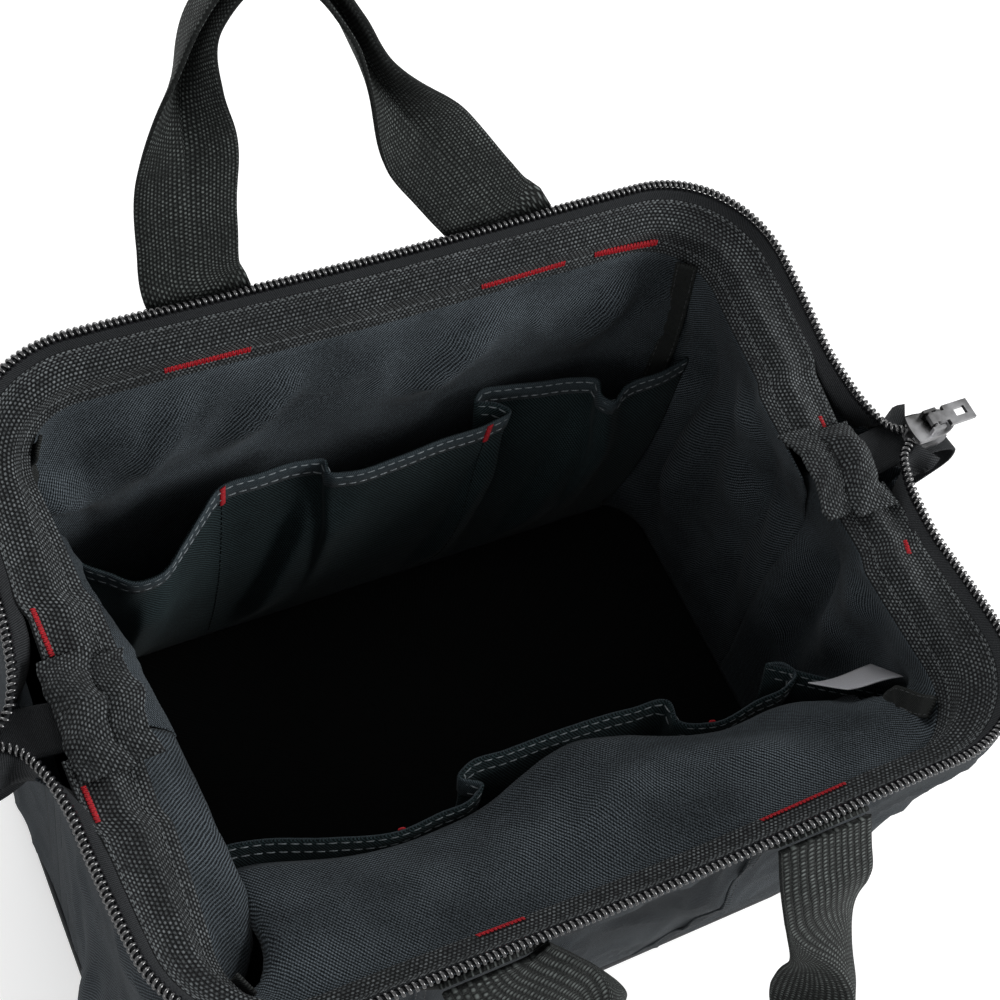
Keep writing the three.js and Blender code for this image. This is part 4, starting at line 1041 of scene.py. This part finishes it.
# The tail cloth's path from the bag's end and the zip's height: out and up
TAIL_PATH = [(-9, -2.6), (0, -1.6), (16, 0.2), (27, 0.4), (33, -2.5), (33.5, -9), (27, -17), (17, -25),
             (8, -20), (2, -12)]
TAIL_ROOT = BASE_LENGTH / 2 + 5


def build_tail(side, name):
    """The folded cloth that holds the two ends of the zip together."""
    path = curve([(TAIL_ROOT + x, 0, z) for x, z in TAIL_PATH], 70)
    u = np.linspace(0, 1, len(path))
    line = np.stack([side * path[:, 0], 1.2 * np.sin(u * 7), TAIL_Z - 4.8 + path[:, 2]], 1)
    across = unit(np.stack([0.12 * np.sin(u * 9), np.ones(len(u)), 0.16 * np.sin(u * 5 + 1)], 1))
    face = unit(np.cross(tangents(line), across))
    tab = section_ribbon(name + "_tail_cloth", line, across, face, 18.0, 1.3, M_TAPE)
    on(tab, "front_frame", "zip_cloth", name + "_tail_tab")


# The handles

# The angle at which each handle leaves the cloth, and its path over its plane
HANDLE_ANGLE = {"front": math.radians(-60), "back": math.radians(70)}
ARCH = {
    "back": [(HANDLE_X, 0), (57, 5), (46.5, 18), (36.5, 32), (25, 48), (13, 66), (2, 86), (-8, 108),
             (-22, 126), (-42, 131), (-58, 117), (-65, 92), (-66, 60), (-67.5, 30), (-67, 8),
             (-HANDLE_X, 0)],
    "front": [(HANDLE_X, 0), (64.5, 14), (68, 40), (72, 74), (71, 104), (61, 130), (42, 142), (20, 138),
              (4, 120), (-8, 94), (-20, 64), (-34, 39), (-50, 19), (-60, 7), (-HANDLE_X, 0)],
}
HANDLE_THICK = 1.9
FOLD_BEND = 1.8
# Places across one side of the strap, and across all of it
FLAT_SHARES = (1, 0.97, 0.66, 0.33)
STRAP_PLACES = [-19, -18.4, -12.5, -6.3, -1.5, -0.7, 0, 0.7, 1.5, 6.3, 12.5, 18.4, 19]
ANCHOR_THICK = 1.8
ANCHOR_BOX = 15


def box_mm(node):
    low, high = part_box(node)
    return np.array(low) / MM, np.array(high) / MM


def handle_frame(half):
    """The handle's root, its run and its face, as the strap leaves the cloth."""
    sign, (low, high) = SIGN[half], box_mm(half + "_handle")
    cos, sin = math.cos(HANDLE_ANGLE[half]), math.sin(HANDLE_ANGLE[half])
    y, z = (low[1] + 0.9, low[2] + 0.6) if half == "back" else (high[1] - 0.9, high[2] - 0.6)
    return np.array([0, y, z]), np.array([0, sign * cos, sin]), np.array([0, -sign * sin, cos])


def grip_fold(half, near, right):
    """The strap's fold and the place across it where it folds, by the way from the nearer end."""
    if half == "back":
        return math.radians(84) * smooth(near, 40, 122), 0.0
    fold = math.radians(50) * smooth(near, 24, 88) + math.radians(34) * smooth(near, 84, 128)
    centre = mix(mix(18.5, -13.0, smooth(near, 34, 100)), 0, smooth(near, 104, 144))
    return fold, centre if right else -centre


def build_handle(half):
    root, along, face = handle_frame(half)
    groove = face * SIGN[half]
    flat = curve([(x, s, 0) for x, s in ARCH[half]], 170)
    s = arclength(flat)
    rings = []
    for at, point, way in zip(s, flat, tangents(flat)):
        near = min(at, s[-1] - at)
        fold, centre = grip_fold(half, near, at < s[-1] / 2)
        straight = np.array([-1.0 if way[1] > 0 else 1.0, 0, 0])
        across = unit(mix(straight, np.array([-way[1], way[0], 0]), smooth(near, 0, 6)))
        middle = np.array([point[0], 0, 0]) + along * point[1] + root
        side = np.array([across[0], 0, 0]) + across[1] * along
        section = folded(fold, centre * np.sign(-across[0]))
        rings.append([middle + side * a + groove * b for a, b in section])
    strap = tube(half + "_handle_strap", np.array(rings), M_STRAP, s, STRAP_PLACES + STRAP_PLACES[::-1])
    on(strap, half + "_grip", "strap", half + "_handle")


def folded(fold, centre):
    """The strap's section: folded lengthwise at the place named, with its groove on the face."""
    turns = np.linspace(-1, 1, 5) * fold
    bend = [(FOLD_BEND * math.sin(t), FOLD_BEND * (1 - math.cos(t)), t) for t in turns]
    low, high = (max(HANDLE_WIDTH / 2 + side * centre - FOLD_BEND * fold, 0.5) for side in (1, -1))

    def flat(start, length, shares):
        x, y, t = start
        return [(x + length * share * math.cos(t), y + length * share * math.sin(t), t) for share in shares]

    line = flat(bend[0], -low, FLAT_SHARES) + bend + flat(bend[-1], high, FLAT_SHARES[::-1])
    x, y, t = (np.array(column) for column in zip(*line))
    x = centre * math.cos(fold) + x
    thick = HANDLE_THICK / 2 * np.array([0.25] + [1] * 11 + [0.25])
    over = zip(x - np.sin(t) * thick, y + np.cos(t) * thick)
    under = zip(x + np.sin(t) * thick, y - np.cos(t) * thick)
    return [*over, *reversed(list(under))]


def build_anchor(half, side, name):
    """The strap's sewn end on the cloth, with a box of stitches."""
    node = f"{half}_{name}_handle_anchor"
    low, high = box_mm(node)
    near, far = (low[1] + 1.3, high[1] - 1.3)[::SIGN[half]]
    ends = [(side * HANDLE_X, near, low[2] + 0.4), (side * HANDLE_X, far, high[2] - 0.4)]
    line = resample(np.array(ends), 1.5)
    across = np.tile([1.0, 0, 0], (len(line), 1))
    face = facing(np.cross(tangents(line), across), [0, SIGN[half], 0])
    patch = section_ribbon(node + "_web", line, across, face, HANDLE_WIDTH, ANCHOR_THICK, M_STRAP)
    on(patch, half + "_frame", "strap", node)
    corners = [line[k] + face[k] + [x, 0, 0] for k, x in
               ((2, -ANCHOR_BOX), (2, ANCHOR_BOX), (-3, ANCHOR_BOX), (-3, -ANCHOR_BOX))]
    path = np.array([corners[k] for k in (0, 1, 2, 3, 0, 2, 3, 1)])
    stitches = stitch_row(node + "_stitches", path, np.tile(face[0], (len(path), 1)), M_GREY, "anchor")
    on(stitches, half + "_frame", "strap")


# The base and the tag

BASE_POINTS = 90
# Half length, half depth and corner of the board and of the bottom seam
BOARD = (162.5, 105.5, 23.0)
BOTTOM = (165.2, 108.2, 25.2)
# Sections: share of the outline and height, and the layer from which the board's top is uneven
BOARD_LAYERS = [(0.985, 2.0), (0.998, 2.8), (1.0, 4.4), (0.992, 5.6), (0.97, 6.0), (0.8, 6.2), (0.5, 6.1),
                (0.2, 6.2), (0.02, 6.2)]
BOARD_TOP = 4
PANEL_LAYERS = [(0.01, 0.3), (0.6, 0.3), (0.97, 0.3), (0.985, 0.5), (0.985, 1.3), (0.97, 1.5), (0.01, 1.5)]
SEAM_BINDING = [(0.4, 0.3), (1.5, 0.8), (1.7, 5.5), (1.4, 10.4), (0.4, 10.8)]
# The tag's corners: two in the seam, two at its free edge
TAG_ROOT = np.array([(163.0, -80.7, 159.5), (163.0, -64.5, 142.0)])
TAG_TIP = np.array([(128.5, -73.6, 160.0), (122.9, -62.3, 143.0)])


def base_ring(half_x, half_y, corner):
    ring = []
    for turn in np.linspace(0, 2 * math.pi, BASE_POINTS, endpoint=False):
        dx, dy = math.cos(turn), math.sin(turn)
        x, y = corner_point(half_x, half_y, corner, dx * half_x, abs(dy) * half_y)
        ring.append((x, math.copysign(y, dy)))
    return np.array(ring)


def layers(ring, section):
    """Rings that shrink the outline by the section's shares, at its heights."""
    return np.array([[(x * share, y * share, z) for x, y in ring] for share, z in section])


def build_base():
    """The covered base board, the binding round the bottom seam, and the bottom cloth."""
    ring = base_ring(*BOARD)
    around = np.arange(BASE_POINTS) * 10.0
    rings = layers(ring, BOARD_LAYERS)
    for point in rings[BOARD_TOP:].reshape(-1, 3):
        point[2] += 0.5 * noise.noise(Vector((point[0] * 0.02, point[1] * 0.02, 1.0)))
    board = tube("base_cover", rings, M_BOARD_SHADE, [z for _, z in BOARD_LAYERS], around)
    on(board, "root", "board", "base_board")
    ring = base_ring(*BOTTOM)
    rings = np.array([[(*(p + o * a), b) for a, b in SEAM_BINDING] for p, o in zip(ring, unit(ring))])
    binding = tube("bottom_seam_binding", rings, M_TAPE, arclength(ring), [0, 1, 5, 10, 11], closed=True)
    on(binding, "root", "webbing", "bottom_binding")
    rings = layers(ring, PANEL_LAYERS)
    floor = tube("bottom_cloth", rings, M_CLOTH, np.arange(len(rings)) * 20.0, around)
    on(floor, "root", "cloth", "bottom_panel")


def build_tag():
    """The blank tag, held in the end wall's seam and curling in over the lining."""
    u, v = np.linspace(0, 1, 12)[:, None, None], np.linspace(0, 1, 24)[:, None]
    grid = mix(mix(*TAG_ROOT, u), mix(*TAG_TIP, u), v)
    grid = grid + np.array([0, 1.0, 1.6]) * np.sin(v * 5.2 + u * 1.4) * v
    uv = uv_grid(np.linspace(0, 24, 12), np.linspace(0, 38, 24))
    soft(sheet("tag_cloth", grid, M_TAG, uv, thick=0.5), "front", "tag", "blank_tag")


def finish_metal():
    """The rigid CAD nodes keep their shape and get a worn metal."""
    metals = {"wire": M_STEEL, "rivet": M_STEEL, "slider": M_ZIP, "pull": M_ZIP}
    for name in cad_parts:
        found = [material for word, material in metals.items() if word in name]
        obj = bpy.data.objects.get(name)
        if found and obj is not None:
            obj.data.materials.clear()
            obj.data.materials.append(found[0])


for half in HALVES:
    build_zip(half)
    build_band(half)
    build_outer(half)
    build_lining(half)
    build_pockets(half)
    build_corner_tapes(half)
    build_handle(half)
    for name, side in SIDES.items():
        build_anchor(half, side, name)
for name, side in SIDES.items():
    build_hinge(side, name)
    build_tail(side, name)
build_base()
build_tag()
finish_metal()


# The stage

FLOOR_HALF, FLOOR_Z = 1200, -0.2
FLOOR_GLOW = 0.35
WHITE = (1, 1, 1, 1)
WORLD_LIGHT = 0.29
# Lamps, in metres and watts: place, size and power
LAMPS = {"key": ((1.5, -0.9, 0.98), 1.0, 38.0), "fill": ((-1.6, -0.9, 0.75), 1.2, 9.0),
         "rim": ((-0.3, 1.6, 1.1), 1.2, 18.0)}
LAMP_AIM = Vector((0, 0, 0.15))


def floor_material():
    """Pale, a little brighter to the camera, and fading into the white world far from the object."""
    paint = Paint("floor", (0.92, 0.92, 0.92), 0.9)
    seen = feed(paint.tree, "LightPath", {}, output="Is Camera Ray")
    plug(paint.shader, {"Emission Color": WHITE, "Emission Strength": seen * FLOOR_GLOW})
    far = feed(paint.tree, "VectorMath", {0: paint.place}, output="Value", operation="LENGTH")
    clear = feed(paint.tree, "BsdfTransparent", {})
    blend = {0: far.ramp(0.45, 1.1), 1: Value(paint.shader.outputs[0]), 2: clear}
    plug(paint.tree.nodes["Material Output"], {"Surface": feed(paint.tree, "MixShader", blend)})
    return paint.material


def build_world():
    """Soft light on the object, and plain white for the camera, in reflections and through glass."""
    world = bpy.data.worlds.new("world")
    bpy.context.scene.world = world
    world.use_nodes = True
    tree = world.node_tree
    ground = tree.nodes["Background"]
    plug(ground, {"Color": WHITE, "Strength": WORLD_LIGHT})
    plain = feed(tree, "Background", {"Color": WHITE, "Strength": 1.0})
    rays = tree.nodes.new("ShaderNodeLightPath").outputs
    eye, glossy, through = (Value(rays[f"Is {kind} Ray"]) for kind in ("Camera", "Glossy", "Transmission"))
    seen = eye.calc("MAXIMUM", glossy).calc("MAXIMUM", through)
    blend = feed(tree, "MixShader", {0: seen, 1: Value(ground.outputs[0]), 2: plain})
    plug(tree.nodes["World Output"], {"Surface": blend})


def build_stage():
    corners = [(x * FLOOR_HALF, y * FLOOR_HALF, FLOOR_Z) for x, y in ((-1, -1), (1, -1), (1, 1), (-1, 1))]
    make("floor", corners, [(0, 1, 2, 3)], floor_material(), shade=False)
    for name, (where, size, power) in LAMPS.items():
        data = bpy.data.lights.new(name, "AREA")
        data.shape, data.size, data.energy = "DISK", size, power
        obj = new_object(name, data)
        obj.location = where
        obj.rotation_euler = (LAMP_AIM - Vector(where)).to_track_quat("-Z", "Y").to_euler()
    build_world()
    bpy.context.scene.view_settings.view_transform = "Standard"


build_stage()
